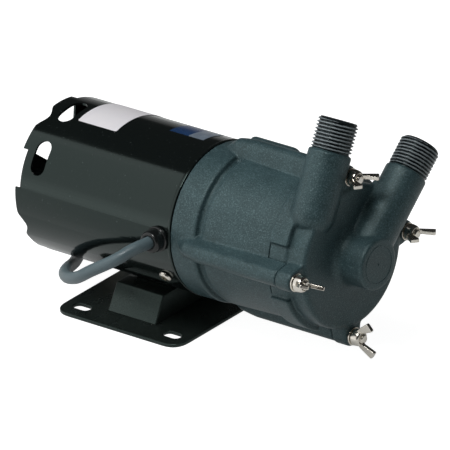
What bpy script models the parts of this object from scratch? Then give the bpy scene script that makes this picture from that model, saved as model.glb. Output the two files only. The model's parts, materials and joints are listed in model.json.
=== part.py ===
"""Magnetic-drive centrifugal pump: drawn steel motor on a foot plate, moulded bracket and volute.

World axes: +X runs from the motor's rear to the pump's face, +Y to the far side, +Z up.
The origin is on the floor, under the middle of the foot plate.
Machine pieces hang on an empty whose Z is the shaft, whose X points at the top bolt and
whose Y points at the near-side bolt. Angles round the shaft run from X to Y.
Lengths are metres and angles degrees.
"""

import math

import bmesh
import bpy
from mathutils import Matrix, Vector

# Clearances
SEAT_GAP = 0.0003
MERGE = 0.00001
OVERRUN = 0.004
TRIM = 0.002

# The machine on its foot
SHELL_CLEARANCE = 0.0160
HEAD_TURN = 5.1

# Foot plate and pedestal
PLATE_LENGTH = 0.0850
PLATE_WIDTH = 0.0880
PLATE_THICKNESS = 0.0020
PLATE_CORNER = 0.0100
FOOT_SLOT_LENGTH = 0.0110
FOOT_SLOT_WIDTH = 0.0056
FOOT_SLOT_SPACING_X = 0.0620
FOOT_SLOT_SPACING_Y = 0.0680
PEDESTAL_LENGTH = 0.0330
PEDESTAL_WIDTH = 0.0608
PEDESTAL_TAPER = 0.0004
PEDESTAL_LEAN = 0.0082
PEDESTAL_RISE = 0.0021
PEDESTAL_WALL = 0.0016
CRADLE_THICKNESS = 0.0020
CRADLE_LENGTH = 0.0270
CRADLE_HALF_ANGLE = 17.0
CRADLE_SCREW_SPACING = 0.0150
CRADLE_SCREW_RADIUS = 0.0020
CRADLE_SCREW_HEAD_RADIUS = 0.0038
CRADLE_SCREW_HEAD_HEIGHT = 0.0022

# Motor shell
SHELL_RADIUS = 0.0410
SHELL_WALL = 0.0012
SHELL_REAR = -0.0645
SHELL_LENGTH = 0.1065
SHELL_BEAD_HEIGHT = 0.0005
SHELL_BEAD_LENGTH = 0.0016
END_PLATE_INSET = 0.0020
END_PLATE_CORNER = 0.0026
SPOKE_COUNT = 4
SPOKE_START = 54.5
SPOKE_ANGLE = 29.0
REAR_HUB_RADIUS = 0.0125
RIM_NOTCH_START = 101.5
RIM_NOTCH_ANGLE = 26.0
RIM_NOTCH_DEPTH = 0.0040
VENT_FROM_REAR = 0.0130
VENT_WIDTH = 0.0094
VENT_LENGTH = 0.0188
VENT_ANGLES = (12.7, 57.9, 192.7, 237.9)

# Motor inside
SHAFT_RADIUS = 0.0040
SHAFT_REAR_OVERHANG = 0.0008
BEARING_RADIUS = 0.0080
BEARING_LENGTH = 0.0070
STATOR_FROM_REAR = 0.0475
STATOR_FROM_MOUTH = 0.0220
STATOR_DEPTH = 0.0183
AIR_GAP = 0.0006
WINDING_LENGTH = 0.0110
WINDING_TO_SHELL = 0.0038
WINDING_TO_BORE = 0.0025
BELL_DEPTH = 0.0085
BELL_WEB = 0.0025
BELL_RIM_WALL = 0.0035
FAN_DISC_THICKNESS = 0.0014
FAN_HUB_RADIUS = 0.0080
FAN_TO_SHELL = 0.0068
FAN_BLADE_HEIGHT = 0.0080
FAN_BLADE_THICKNESS = 0.0014
FAN_BLADES = 8
FAN_CLEARANCE = 0.0012
GROUND_SCREW_FROM_MOUTH = 0.0100
GROUND_SCREW_ANGLE = 125.0
GROUND_SCREW_RADIUS = 0.0018
GROUND_SCREW_HEAD_RADIUS = 0.0036
GROUND_SCREW_HEAD_HEIGHT = 0.0016

# Strain relief and cord
RELIEF_FROM_MOUTH = 0.0080
RELIEF_ANGLE = 90.0
RELIEF_OUTSIDE = 0.0075
RELIEF_INSIDE = 0.0045
RELIEF_RADIUS = 0.0068
RELIEF_TIP_RADIUS = 0.0058
RELIEF_NECK_RADIUS = 0.0048
RELIEF_CORD_DEPTH = 0.0040
CORD_DIAMETER = 0.0065

# Bracket between motor and pump
RING_RADIUS = 0.0412
RING_LENGTH = 0.0163
GROOVE_LENGTH = 0.0044
GROOVE_DEPTH = 0.0022
BRACKET_LENGTH = 0.0637
BRACKET_REAR_RADIUS = 0.0404
BRACKET_FRONT_RADIUS = 0.0390
BRACKET_BORE = 0.0345
BRACKET_WEB = 0.0042
BRACKET_SHAFT_HOLE = 0.0120
BRACKET_SCREW_CIRCLE = 0.0240
BRACKET_SCREW_RADIUS = 0.0019
BRACKET_SCREW_HEAD_RADIUS = 0.0036
BRACKET_SCREW_HEAD_HEIGHT = 0.0024
BOLT_COUNT = 4
BOLT_CIRCLE = 0.0436
BOLT_BOSS_RADIUS = 0.0051
BOLT_BOSS_FLARE = 0.0021
BOLT_BOSS_ROOT = 0.0040
BOLT_RAMP_LENGTH = 0.0190
BOLT_RAMP = ((0.0, -0.0064, 0.59), (0.16, -0.0036, 0.69), (0.42, -0.0011, 0.92), (0.79, -0.0003, 0.98), (1.0, 0.0, 1.0))
BOLT_BOSS_SETBACK = 0.0047
BOLT_TURN = 90.0
LUG_RADIUS = 0.0058
LUG_CIRCLE = 0.0400
LUG_ANGLE = -38.0
LUG_LENGTH = 0.0255

# Magnetic drive and rear casing
DRIVE_HUB_RADIUS = 0.0090
DRIVE_HUB_FROM_BRACKET = 0.0137
DRIVE_HUB_LENGTH = 0.0130
DRIVE_WEB = 0.0032
DRIVE_CUP_RADIUS = 0.0325
DRIVE_CUP_WALL = 0.0028
DRIVE_MAGNET_WALL = 0.0046
DRIVE_MAGNET_LENGTH = 0.0290
CASING_CUP_RADIUS = 0.0235
CASING_WALL = 0.0020
CASING_FLANGE_RADIUS = 0.0378
CASING_FLANGE_THICKNESS = 0.0025
CASING_DEPTH = 0.0330
SPINDLE_RADIUS = 0.0030
SPINDLE_SOCKET_RADIUS = 0.0062
SPINDLE_SOCKET_DEPTH = 0.0070
WASHER_RADIUS = 0.0058
WASHER_THICKNESS = 0.0012
IMPELLER_MAGNET_RADIUS = 0.0203
IMPELLER_MAGNET_LENGTH = 0.0185
IMPELLER_NECK_RADIUS = 0.0085
IMPELLER_RADIUS = 0.0295
IMPELLER_DISC = 0.0018
IMPELLER_VANE_HEIGHT = 0.0072
IMPELLER_VANE_THICKNESS = 0.0016
IMPELLER_VANE_INNER = 0.0105
IMPELLER_VANE_SWEEP = 62.0
IMPELLER_VANES = 6

# Volute
VOLUTE_RADIUS = 0.0382
VOLUTE_EDGE = 0.0030
COLLAR_RADIUS = 0.0415
SKIRT_WALL = 0.0012
COLLAR_LENGTH = 0.0124
COLLAR_TAB_ANGLE = 47.0
FACE_FROM_PARTING = 0.0237
EAR_BELOW_FACE = 0.0012
EAR_RADIUS = 0.0056
EAR_ROOT = 0.0040
CHAMBER_RADIUS = 0.0325
CHAMBER_DEPTH = 0.0124
SEAL_RING_RADIUS = 0.0011
SEAL_RING_CIRCLE = 0.0356
INLET_BOSS_RADIUS = 0.0138
INLET_BOSS_HEIGHT = 0.0170
INLET_BOSS_FILLET = 0.0050
INLET_ANGLE = -45.5
INLET_ABOVE_FACE = 0.0055
INLET_EYE_RADIUS = 0.0095
INLET_REACH = 0.0680
INLET_FAIRING_REACH = 0.0400
DISCHARGE_LEAN = -26.0
DISCHARGE_OFFSET = 0.0316
DISCHARGE_FROM_PARTING = 0.0160
DISCHARGE_REACH = 0.0656
DISCHARGE_ROOT = 0.0068
DISCHARGE_DOME = 0.0095
DISCHARGE_BORE_START = 0.0110
TUBE_RADIUS = 0.0112
TUBE_BORE = 0.0078
THREAD_RADIUS = 0.01015
THREAD_LENGTH = 0.0170

# Studs, washers and wing nuts
STUD_RADIUS = 0.0024
STUD_BURIED = 0.0240
STUD_PROUD = 0.0014
STUD_WASHER_RADIUS = 0.0048
STUD_WASHER_THICKNESS = 0.0008
WING_HUB_RADIUS = 0.0045
WING_HUB_TIP_RADIUS = 0.0039
WING_HUB_HEIGHT = 0.0049
WING_SPAN = 0.0205
WING_LEAN = 54.0
WING_WIDTH = 0.0050
WING_THICKNESS = 0.0018
WING_BEARINGS = {"n": 92.0, "w": 70.0, "s": 8.0, "e": 89.0}

# Cord route, coil and plug, in world coordinates
CORD_ROUTE = (
    (0.0322, -0.0590, 0.0612),
    (0.0270, -0.0672, 0.0575),
    (0.0147, -0.0720, 0.0506),
    (0.0020, -0.0695, 0.0425),
    (-0.0130, -0.0610, 0.0350),
    (-0.0275, -0.0480, 0.0283),
    (-0.0420, -0.0305, 0.0200),
    (-0.0548, -0.0118, 0.0122),
    (-0.0690, 0.0080, 0.0062),
    (-0.0815, 0.0270, 0.0038),
    (-0.0895, 0.0460, 0.0036),
    (-0.0917, 0.0640, 0.0036),
    (-0.0922, 0.0760, 0.0036),
    (-0.0923, 0.0930, 0.0036),
)
CORD_POINTS_PER_SPAN = 3
COIL_CENTRE_X = -0.0410
COIL_CENTRE_Y = 0.0930
COIL_MEAN_RADIUS = 0.0380
COIL_COLUMNS = 3
COIL_LAYERS = 2
TAIL_ROUTE = (
    (0.0020, 0.0970, 0.0169),
    (0.0008, 0.0872, 0.0174),
    (-0.0027, 0.0780, 0.0190),
    (-0.0083, 0.0701, 0.0212),
    (-0.0155, 0.0641, 0.0234),
    (-0.0239, 0.0603, 0.0250),
    (-0.0330, 0.0590, 0.0256),
    (-0.0360, 0.0590, 0.0256),
)
PLUG_LENGTH = 0.0300
PLUG_RADIUS = 0.0120
PLUG_NECK_LENGTH = 0.0100
PLUG_NECK_RADIUS = 0.0052
BLADE_LENGTH = 0.0165
BLADE_WIDTH = 0.0064
BLADE_THICKNESS = 0.0015
BLADE_SPACING = 0.0127
GROUND_PIN_RADIUS = 0.0023
GROUND_PIN_LENGTH = 0.0180
GROUND_PIN_OFFSET = 0.0078
BLADE_DROP = 0.0020

# Facets
ROUND = 40
TURNED = 24
MEDIUM = 16
FINE = 10
CORD_SIDES = 8

# Sizes that follow the shell
AXIS_HEIGHT = SHELL_CLEARANCE + SHELL_RADIUS
SHELL_BORE = SHELL_RADIUS - SHELL_WALL
STATOR_BORE = SHELL_BORE - STATOR_DEPTH
WINDING_OUTER = SHELL_BORE - WINDING_TO_SHELL
WINDING_INNER = STATOR_BORE + WINDING_TO_BORE
FAN_RADIUS = SHELL_BORE - FAN_TO_SHELL

# Stations along the shaft
SHELL_FRONT = SHELL_REAR + SHELL_LENGTH
STATOR_REAR = SHELL_REAR + STATOR_FROM_REAR
STATOR_LENGTH = SHELL_LENGTH - STATOR_FROM_REAR - STATOR_FROM_MOUTH
GROUND_SCREW_X = SHELL_FRONT - GROUND_SCREW_FROM_MOUTH
RELIEF_X = SHELL_FRONT - RELIEF_FROM_MOUTH
END_PLATE_REAR = SHELL_REAR + END_PLATE_INSET
END_PLATE_FRONT = END_PLATE_REAR + SHELL_WALL
BRACKET_REAR = SHELL_FRONT + SEAT_GAP
DRIVE_HUB_REAR = BRACKET_REAR + DRIVE_HUB_FROM_BRACKET
RING_FRONT = BRACKET_REAR + RING_LENGTH
PANEL_REAR = RING_FRONT + GROOVE_LENGTH
PARTING = BRACKET_REAR + BRACKET_LENGTH
COLLAR_REAR = PARTING + SEAT_GAP
COLLAR_FRONT = COLLAR_REAR + COLLAR_LENGTH
FACE = PARTING + FACE_FROM_PARTING
EAR_FRONT = FACE - EAR_BELOW_FACE
BOSS_FRONT = FACE + INLET_BOSS_HEIGHT
INLET_X = FACE + INLET_ABOVE_FACE
DISCHARGE_X = PARTING + DISCHARGE_FROM_PARTING
FLANGE_REAR = PARTING + SEAT_GAP
FLANGE_FRONT = FLANGE_REAR + CASING_FLANGE_THICKNESS
SHOULDER = FLANGE_FRONT + SEAT_GAP
CHAMBER_FRONT = SHOULDER + CHAMBER_DEPTH
CASING_REAR = FLANGE_FRONT - CASING_DEPTH
SOCKET_FRONT = CASING_REAR + CASING_WALL + SPINDLE_SOCKET_DEPTH
WASHER_FRONT = SOCKET_FRONT + SEAT_GAP + WASHER_THICKNESS
MAGNET_REAR = WASHER_FRONT + SEAT_GAP
MAGNET_FRONT = MAGNET_REAR + IMPELLER_MAGNET_LENGTH
DISC_REAR = SHOULDER + SEAT_GAP
VANE_FRONT = DISC_REAR + IMPELLER_DISC + IMPELLER_VANE_HEIGHT
SPINDLE_FRONT = INLET_X + TUBE_BORE + 0.0017
NUT_SEAT = EAR_FRONT + SEAT_GAP + STUD_WASHER_THICKNESS + SEAT_GAP
NUT_FRONT = NUT_SEAT + WING_HUB_HEIGHT
BOLT_NAMES = "nwse"
BOLT_ANGLES = tuple(BOLT_TURN * index for index in range(BOLT_COUNT))

PARTS = None
CUTTERS = None
MACHINE = None


def clear_scene():
    for item in list(bpy.data.objects):
        bpy.data.objects.remove(item, do_unlink=True)


def make_collection(name):
    made = bpy.data.collections.new(name)
    bpy.context.scene.collection.children.link(made)
    return made


def make_machine_empty():
    """Empty on the shaft: local Z is the shaft, local X the top bolt, local Y the near-side bolt."""
    empty = bpy.data.objects.new("machine", None)
    bpy.context.scene.collection.objects.link(empty)
    turn = math.radians(HEAD_TURN)
    top = Vector((0.0, math.sin(turn), math.cos(turn)))
    shaft = Vector((1.0, 0.0, 0.0))
    near = shaft.cross(top)
    basis = Matrix((top, near, shaft)).transposed().to_4x4()
    empty.matrix_world = Matrix.Translation((0.0, 0.0, AXIS_HEIGHT)) @ basis
    return empty


def finish(name, colour, roughness, metallic):
    """One Principled material, shared by the sub-parts that name it."""
    made = bpy.data.materials.get(name)
    if made is None:
        made = bpy.data.materials.new(name)
        made.use_nodes = True
        shader = made.node_tree.nodes["Principled BSDF"]
        shader.inputs["Base Color"].default_value = (*colour, 1.0)
        shader.inputs["Roughness"].default_value = roughness
        shader.inputs["Metallic"].default_value = metallic
        made.diffuse_color = (*colour, 1.0)
    return made


def black_enamel():
    return finish("black_enamel", (0.012, 0.014, 0.016), 0.12, 0.0)


def moulded_plastic():
    return finish("moulded_plastic", (0.075, 0.100, 0.108), 0.52, 0.0)


def black_plastic():
    return finish("black_plastic", (0.012, 0.012, 0.013), 0.30, 0.0)


def bright_steel():
    return finish("bright_steel", (0.62, 0.60, 0.56), 0.20, 1.0)


def ground_steel():
    return finish("ground_steel", (0.50, 0.50, 0.50), 0.30, 1.0)


def lamination_steel():
    return finish("lamination_steel", (0.22, 0.22, 0.23), 0.55, 1.0)


def copper_winding():
    return finish("copper_winding", (0.45, 0.18, 0.07), 0.35, 1.0)


def ferrite():
    return finish("ferrite", (0.06, 0.06, 0.065), 0.60, 0.0)


def ceramic():
    return finish("ceramic", (0.80, 0.78, 0.72), 0.25, 0.0)


def seal_rubber():
    return finish("seal_rubber", (0.02, 0.02, 0.02), 0.70, 0.0)


def cord_jacket():
    return finish("cord_jacket", (0.16, 0.20, 0.22), 0.50, 0.0)


def link_object(name, mesh, collection, parent, at=(0.0, 0.0, 0.0), turn=None):
    made = bpy.data.objects.new(name, mesh)
    collection.objects.link(made)
    made.parent = parent
    made.location = at
    if turn is not None:
        made.rotation_euler = turn
    return made


def as_part(item, material):
    item.data.materials.clear()
    item.data.materials.append(material)
    item.data.shade_smooth()
    item.data.set_sharp_from_angle(angle=math.radians(35.0))
    return item


def as_cutter(item):
    item.display_type = "WIRE"
    item.hide_render = True
    return item


def mesh_from(bm, name):
    bmesh.ops.recalc_face_normals(bm, faces=bm.faces)
    mesh = bpy.data.meshes.new(name)
    bm.to_mesh(mesh)
    bm.free()
    return mesh


def profile_mesh(name, points, closed):
    bm = bmesh.new()
    verts = [bm.verts.new((radius, 0.0, height)) for radius, height in points]
    for first, second in zip(verts, verts[1:]):
        bm.edges.new((first, second))
    if closed:
        bm.edges.new((verts[-1], verts[0]))
    mesh = bpy.data.meshes.new(name)
    bm.to_mesh(mesh)
    bm.free()
    return mesh


def turned(name, points, collection, parent, closed=False, steps=ROUND, at=(0.0, 0.0, 0.0)):
    """A profile of (radius, station) pairs, down its outer side, turned about local Z."""
    item = link_object(name, profile_mesh(name, points, closed), collection, parent, at)
    screw = item.modifiers.new("turn", "SCREW")
    screw.axis = "Z"
    screw.angle = math.tau
    screw.steps = steps
    screw.render_steps = steps
    screw.use_merge_vertices = True
    screw.merge_threshold = MERGE
    return item


def turned_part(name, points, material, closed=False, steps=ROUND, at=(0.0, 0.0, 0.0)):
    item = turned(name, points, PARTS, MACHINE, closed, steps, at)
    item.data.materials.append(material)
    return item


def turned_cutter(name, points, closed=False, steps=ROUND):
    return as_cutter(turned(name, points, CUTTERS, MACHINE, closed, steps))


def rod_mesh(name, radius, tip_radius, depth, steps):
    """A cylinder or cone frustum that stands on its origin along +Z."""
    bm = bmesh.new()
    bmesh.ops.create_cone(
        bm,
        cap_ends=True,
        segments=steps,
        radius1=radius,
        radius2=tip_radius,
        depth=depth,
        matrix=Matrix.Translation((0.0, 0.0, depth / 2.0)),
    )
    return mesh_from(bm, name)


def box_mesh(name, size, centre=(0.0, 0.0, 0.0)):
    bm = bmesh.new()
    bmesh.ops.create_cube(bm, size=1.0)
    bmesh.ops.scale(bm, vec=size, verts=bm.verts)
    bmesh.ops.translate(bm, vec=centre, verts=bm.verts)
    return mesh_from(bm, name)


def outline_mesh(name, points, thickness):
    """A flat outline in XY, thickened evenly to both sides of its plane, as a closed mesh."""
    curve = bpy.data.curves.new(name, "CURVE")
    curve.dimensions = "2D"
    curve.fill_mode = "BOTH"
    curve.extrude = thickness / 2.0
    spline = curve.splines.new("POLY")
    spline.points.add(len(points) - 1)
    for point, (x, y) in zip(spline.points, points):
        point.co = (x, y, 0.0, 1.0)
    spline.use_cyclic_u = True
    return curve_to_mesh(name, curve)


def curve_to_mesh(name, curve):
    """The evaluated curve as one welded mesh; the curve itself is removed."""
    guide = bpy.data.objects.new(name + "_curve", curve)
    bpy.context.scene.collection.objects.link(guide)
    bpy.context.view_layer.update()
    evaluated = guide.evaluated_get(bpy.context.evaluated_depsgraph_get())
    mesh = bpy.data.meshes.new_from_object(evaluated)
    mesh.name = name
    bpy.data.objects.remove(guide, do_unlink=True)
    bm = bmesh.new()
    bm.from_mesh(mesh)
    bmesh.ops.remove_doubles(bm, verts=bm.verts, dist=MERGE)
    bmesh.ops.recalc_face_normals(bm, faces=bm.faces)
    bm.to_mesh(mesh)
    bm.free()
    return mesh


def sector_mesh(name, points, start, angle, steps=8):
    """A closed (radius, station) profile swept about Z from start through angle, with end faces."""
    bm = bmesh.new()
    verts = [bm.verts.new((radius, 0.0, height)) for radius, height in points]
    face = bm.faces.new(verts)
    bmesh.ops.rotate(bm, verts=verts, cent=(0, 0, 0), matrix=Matrix.Rotation(math.radians(start), 3, "Z"))
    bmesh.ops.spin(
        bm,
        geom=[face, *face.edges, *face.verts],
        cent=(0.0, 0.0, 0.0),
        axis=(0.0, 0.0, 1.0),
        angle=math.radians(angle),
        steps=steps,
        use_duplicate=False,
    )
    return mesh_from(bm, name)


def section_mesh(name, sections):
    """A closed skin through outlines in XY that each stand at their own station along Z."""
    bm = bmesh.new()
    rings = [[bm.verts.new((x, y, station)) for x, y in outline] for station, outline in sections]
    for near, far in zip(rings, rings[1:]):
        for index in range(len(near)):
            after = (index + 1) % len(near)
            bm.faces.new((near[index], near[after], far[after], far[index]))
    bm.faces.new(rings[0])
    bm.faces.new(rings[-1])
    bmesh.ops.recalc_face_normals(bm, faces=bm.faces)
    return mesh_from(bm, name)


def boolean(item, other, operation):
    step = item.modifiers.new(other.name, "BOOLEAN")
    step.operation = operation
    step.object = other
    step.solver = "EXACT"
    return step


def cut(item, *cutters):
    for cutter in cutters:
        boolean(item, cutter, "DIFFERENCE")


def join(item, *others):
    for other in others:
        boolean(item, other, "UNION")


def tool(name, mesh, parent=None, at=(0.0, 0.0, 0.0), turn=None):
    return as_cutter(link_object(name, mesh, CUTTERS, parent, at, turn))


def polar(radius, angle, station=0.0):
    bearing = math.radians(angle)
    return Vector((radius * math.cos(bearing), radius * math.sin(bearing), station))


def arc(centre, radius, start, end, count):
    """Points of an arc in a plane, both ends included."""
    points = []
    for index in range(count):
        bearing = math.radians(start + (end - start) * index / (count - 1))
        points.append((centre[0] + radius * math.cos(bearing), centre[1] + radius * math.sin(bearing)))
    return points


def rounded_rectangle(length, width, corner, count=4):
    points = []
    x = length / 2.0 - corner
    y = width / 2.0 - corner
    for centre, start in (((x, y), 0.0), ((-x, y), 90.0), ((-x, -y), 180.0), ((x, -y), 270.0)):
        points += arc(centre, corner, start, start + 90.0, count)
    return points


def obround(length, width, count=5):
    reach = (length - width) / 2.0
    return arc((reach, 0.0), width / 2.0, -90.0, 90.0, count) + arc((-reach, 0.0), width / 2.0, 90.0, 270.0, count)


def radial_turn(angle, roll=0.0):
    """Rotation that lays local Z along the radius at an angle, with local X along the shaft."""
    outward = polar(1.0, angle)
    along = Vector((0.0, 0.0, 1.0))
    side = outward.cross(along)
    basis = Matrix((along, side, outward)).transposed()
    return (basis @ Matrix.Rotation(math.radians(roll), 3, "Z")).to_euler()


def ring_points(inner, outer, rear, front):
    """Closed profile of a plain ring, from its outer front corner down its outer side."""
    return [(outer, front), (outer, rear), (inner, rear), (inner, front)]


def build_base_plate():
    mesh = outline_mesh("base_plate", rounded_rectangle(PLATE_LENGTH, PLATE_WIDTH, PLATE_CORNER), PLATE_THICKNESS)
    plate = link_object("base_plate", mesh, PARTS, None, (0.0, 0.0, PLATE_THICKNESS / 2.0))
    as_part(plate, black_enamel())
    slot = outline_mesh("foot_slot", obround(FOOT_SLOT_LENGTH, FOOT_SLOT_WIDTH), PLATE_THICKNESS + 2.0 * OVERRUN)
    for index, (side_x, side_y) in enumerate(((1, 1), (-1, 1), (-1, -1), (1, -1))):
        at = (side_x * FOOT_SLOT_SPACING_X / 2.0, side_y * FOOT_SLOT_SPACING_Y / 2.0, PLATE_THICKNESS / 2.0)
        cut(plate, tool(f"foot_slot_{index}", slot, None, at))


def pedestal_shell(name, inset, base, top):
    """A drawn box whose long walls lean in: a cube whose upper face is drawn in."""
    bm = bmesh.new()
    bmesh.ops.create_cube(bm, size=1.0)
    for vert in bm.verts:
        above = vert.co.z > 0
        half_length = PEDESTAL_LENGTH / 2.0 - inset - (PEDESTAL_TAPER if above else 0.0)
        half_width = PEDESTAL_WIDTH / 2.0 - inset - (PEDESTAL_LEAN if above else 0.0)
        vert.co = (
            math.copysign(half_length, vert.co.x),
            math.copysign(half_width, vert.co.y),
            top if vert.co.z > 0 else base,
        )
    return mesh_from(bm, name)


def pedestal_top():
    return AXIS_HEIGHT - SHELL_RADIUS - 2.0 * SEAT_GAP - CRADLE_THICKNESS


def cradle_screw_places():
    return [(side * CRADLE_SCREW_SPACING / 2.0, 0.0) for side in (1, -1)]


def build_pedestal():
    base = PLATE_THICKNESS + SEAT_GAP
    top = pedestal_top()
    mesh = pedestal_shell("pedestal", 0.0, base, top + PEDESTAL_RISE)
    pedestal = as_part(link_object("pedestal", mesh, PARTS, None), black_enamel())
    bevel = pedestal.modifiers.new("drawn_edges", "BEVEL")
    bevel.width = PEDESTAL_WALL
    bevel.segments = 2
    bevel.limit_method = "ANGLE"
    bevel.angle_limit = math.radians(60.0)
    hollow = tool("pedestal_hollow", pedestal_shell("pedestal_hollow", PEDESTAL_WALL, base - OVERRUN, top - PEDESTAL_WALL))
    cut(pedestal, hollow)
    saddle_radius = AXIS_HEIGHT - top
    saddle = rod_mesh("saddle", saddle_radius, saddle_radius, PEDESTAL_LENGTH + 2.0 * OVERRUN, ROUND)
    cut(pedestal, tool("saddle", saddle, MACHINE, (0.0, 0.0, -PEDESTAL_LENGTH / 2.0 - OVERRUN)))
    hole = rod_mesh("cradle_hole", CRADLE_SCREW_RADIUS + SEAT_GAP, CRADLE_SCREW_RADIUS + SEAT_GAP, 2.0 * OVERRUN, FINE)
    for index, (x, y) in enumerate(cradle_screw_places()):
        cut(pedestal, tool(f"pedestal_hole_{index}", hole, None, (x, y, top - OVERRUN)))


def build_cradle():
    """Curved strip that hugs the shell's underside; it hangs plumb, so its angles leave the head's turn out."""
    inner = SHELL_RADIUS + SEAT_GAP
    outer = inner + CRADLE_THICKNESS
    half = CRADLE_LENGTH / 2.0
    straight_down = 180.0 + HEAD_TURN
    points = ring_points(inner, outer, -half, half)
    mesh = sector_mesh("cradle", points, straight_down - CRADLE_HALF_ANGLE, 2.0 * CRADLE_HALF_ANGLE, 8)
    cradle = as_part(link_object("cradle", mesh, PARTS, MACHINE), black_enamel())
    hole = rod_mesh("cradle_screw_hole", CRADLE_SCREW_RADIUS + SEAT_GAP, CRADLE_SCREW_RADIUS + SEAT_GAP, 3.0 * OVERRUN, FINE)
    for index, (x, y) in enumerate(cradle_screw_places()):
        cut(cradle, tool(f"cradle_hole_{index}", hole, None, (x, y, pedestal_top() - OVERRUN)))


def build_cradle_screws():
    """Screws from inside the pedestal, through pedestal and cradle, into the shell's underside."""
    under = pedestal_top() - PEDESTAL_WALL - SEAT_GAP
    tip = AXIS_HEIGHT - SHELL_BORE
    points = [
        (0.0, tip),
        (CRADLE_SCREW_RADIUS, tip),
        (CRADLE_SCREW_RADIUS, under),
        (CRADLE_SCREW_HEAD_RADIUS, under),
        (CRADLE_SCREW_HEAD_RADIUS * 0.85, under - CRADLE_SCREW_HEAD_HEIGHT),
        (0.0, under - CRADLE_SCREW_HEAD_HEIGHT),
    ]
    for name, (x, y) in zip(("front", "rear"), cradle_screw_places()):
        screw = turned(f"cradle_screw_{name}", points, PARTS, None, steps=FINE, at=(x, y, 0.0))
        screw.data.materials.append(bright_steel())


def shell_profile():
    """Outer side from front bead to rear rim, back up inside over the end plate and bearing cup."""
    cup = BEARING_RADIUS + SEAT_GAP
    cup_wall = cup + SHELL_WALL
    cup_front = END_PLATE_REAR + BEARING_LENGTH
    bead = SHELL_RADIUS + SHELL_BEAD_HEIGHT
    bead_rear = SHELL_FRONT - SHELL_BEAD_LENGTH
    return [
        (SHELL_RADIUS, SHELL_FRONT),
        (bead, SHELL_FRONT - SHELL_BEAD_HEIGHT),
        (bead, bead_rear + SHELL_BEAD_HEIGHT),
        (SHELL_RADIUS, bead_rear),
        (SHELL_RADIUS, SHELL_REAR),
        (SHELL_BORE, SHELL_REAR),
        (SHELL_BORE, END_PLATE_REAR),
        (cup, END_PLATE_REAR),
        (cup, cup_front),
        (cup_wall, cup_front),
        (cup_wall, END_PLATE_FRONT),
        (SHELL_BORE, END_PLATE_FRONT),
        (SHELL_BORE, SHELL_FRONT),
    ]


def spoke_corner_points():
    """What is taken off at a spoke: the rim beyond the end plate, and the outside of the bend."""
    beyond = SHELL_RADIUS + OVERRUN
    behind = SHELL_REAR - OVERRUN
    centre = (SHELL_RADIUS - END_PLATE_CORNER, END_PLATE_REAR + END_PLATE_CORNER)
    bend = arc(centre, END_PLATE_CORNER, 270.0, 360.0, 4)
    start = (centre[0], behind)
    return [start, *bend, (beyond, centre[1]), (beyond, behind)]


def window_points():
    inner = REAR_HUB_RADIUS
    outer = SHELL_BORE - SEAT_GAP
    return ring_points(inner, outer, END_PLATE_REAR - OVERRUN, END_PLATE_FRONT + OVERRUN)


def build_motor_shell():
    shell = turned_part("motor_shell", shell_profile(), black_enamel(), closed=True, steps=ROUND)
    window = 360.0 / SPOKE_COUNT - SPOKE_ANGLE
    notch = outline_mesh("rim_notch", rim_notch_outline(), 4.0 * OVERRUN)
    for index in range(SPOKE_COUNT):
        start = SPOKE_START + 360.0 / SPOKE_COUNT * index
        corner = sector_mesh(f"spoke_corner_{index}", spoke_corner_points(), start, SPOKE_ANGLE, 4)
        opening = sector_mesh(f"rear_window_{index}", window_points(), start + SPOKE_ANGLE, window, 8)
        cut(shell, tool(f"spoke_corner_{index}", corner, MACHINE))
        cut(shell, tool(f"rear_window_{index}", opening, MACHINE))
        middle = RIM_NOTCH_START + RIM_NOTCH_ANGLE / 2.0 + 360.0 / SPOKE_COUNT * index
        cut(shell, tool(f"rim_notch_{index}", notch, MACHINE, polar(SHELL_RADIUS, middle, SHELL_REAR), radial_turn(middle)))
    vent = outline_mesh("vent", obround(VENT_LENGTH, VENT_WIDTH), 4.0 * OVERRUN)
    for index, angle in enumerate(VENT_ANGLES):
        at = polar(SHELL_RADIUS, angle, SHELL_REAR + VENT_FROM_REAR)
        cut(shell, tool(f"vent_{index}", vent, MACHINE, at, radial_turn(angle, 90.0)))
    cut(shell, radial_tool("relief_hole", RELIEF_NECK_RADIUS + SEAT_GAP, RELIEF_ANGLE, RELIEF_X, MEDIUM))
    cut(shell, radial_tool("ground_hole", GROUND_SCREW_RADIUS + SEAT_GAP, GROUND_SCREW_ANGLE, GROUND_SCREW_X, FINE))
    hole = rod_mesh("shell_screw_hole", CRADLE_SCREW_RADIUS + SEAT_GAP, CRADLE_SCREW_RADIUS + SEAT_GAP, 3.0 * OVERRUN, FINE)
    for index, (x, y) in enumerate(cradle_screw_places()):
        cut(shell, tool(f"shell_hole_{index}", hole, None, (x, y, pedestal_top())))


def rim_notch_outline():
    """Half-moon bite into the rim: local X is along the shaft, Y round the rim."""
    half = SHELL_RADIUS * math.radians(RIM_NOTCH_ANGLE) / 2.0
    count = 7
    points = []
    for index in range(count):
        share = -1.0 + 2.0 * index / (count - 1)
        depth = RIM_NOTCH_DEPTH * (0.5 + 0.5 * math.cos(math.pi * share))
        points.append((depth, half * share))
    return [*points, (-OVERRUN, half), (-OVERRUN, -half)]


def radial_tool(name, radius, angle, station, steps, start=SHELL_BORE - TRIM):
    mesh = rod_mesh(name, radius, radius, SHELL_RADIUS + OVERRUN - start, steps)
    return tool(name, mesh, MACHINE, polar(start, angle, station), radial_turn(angle))


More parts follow.
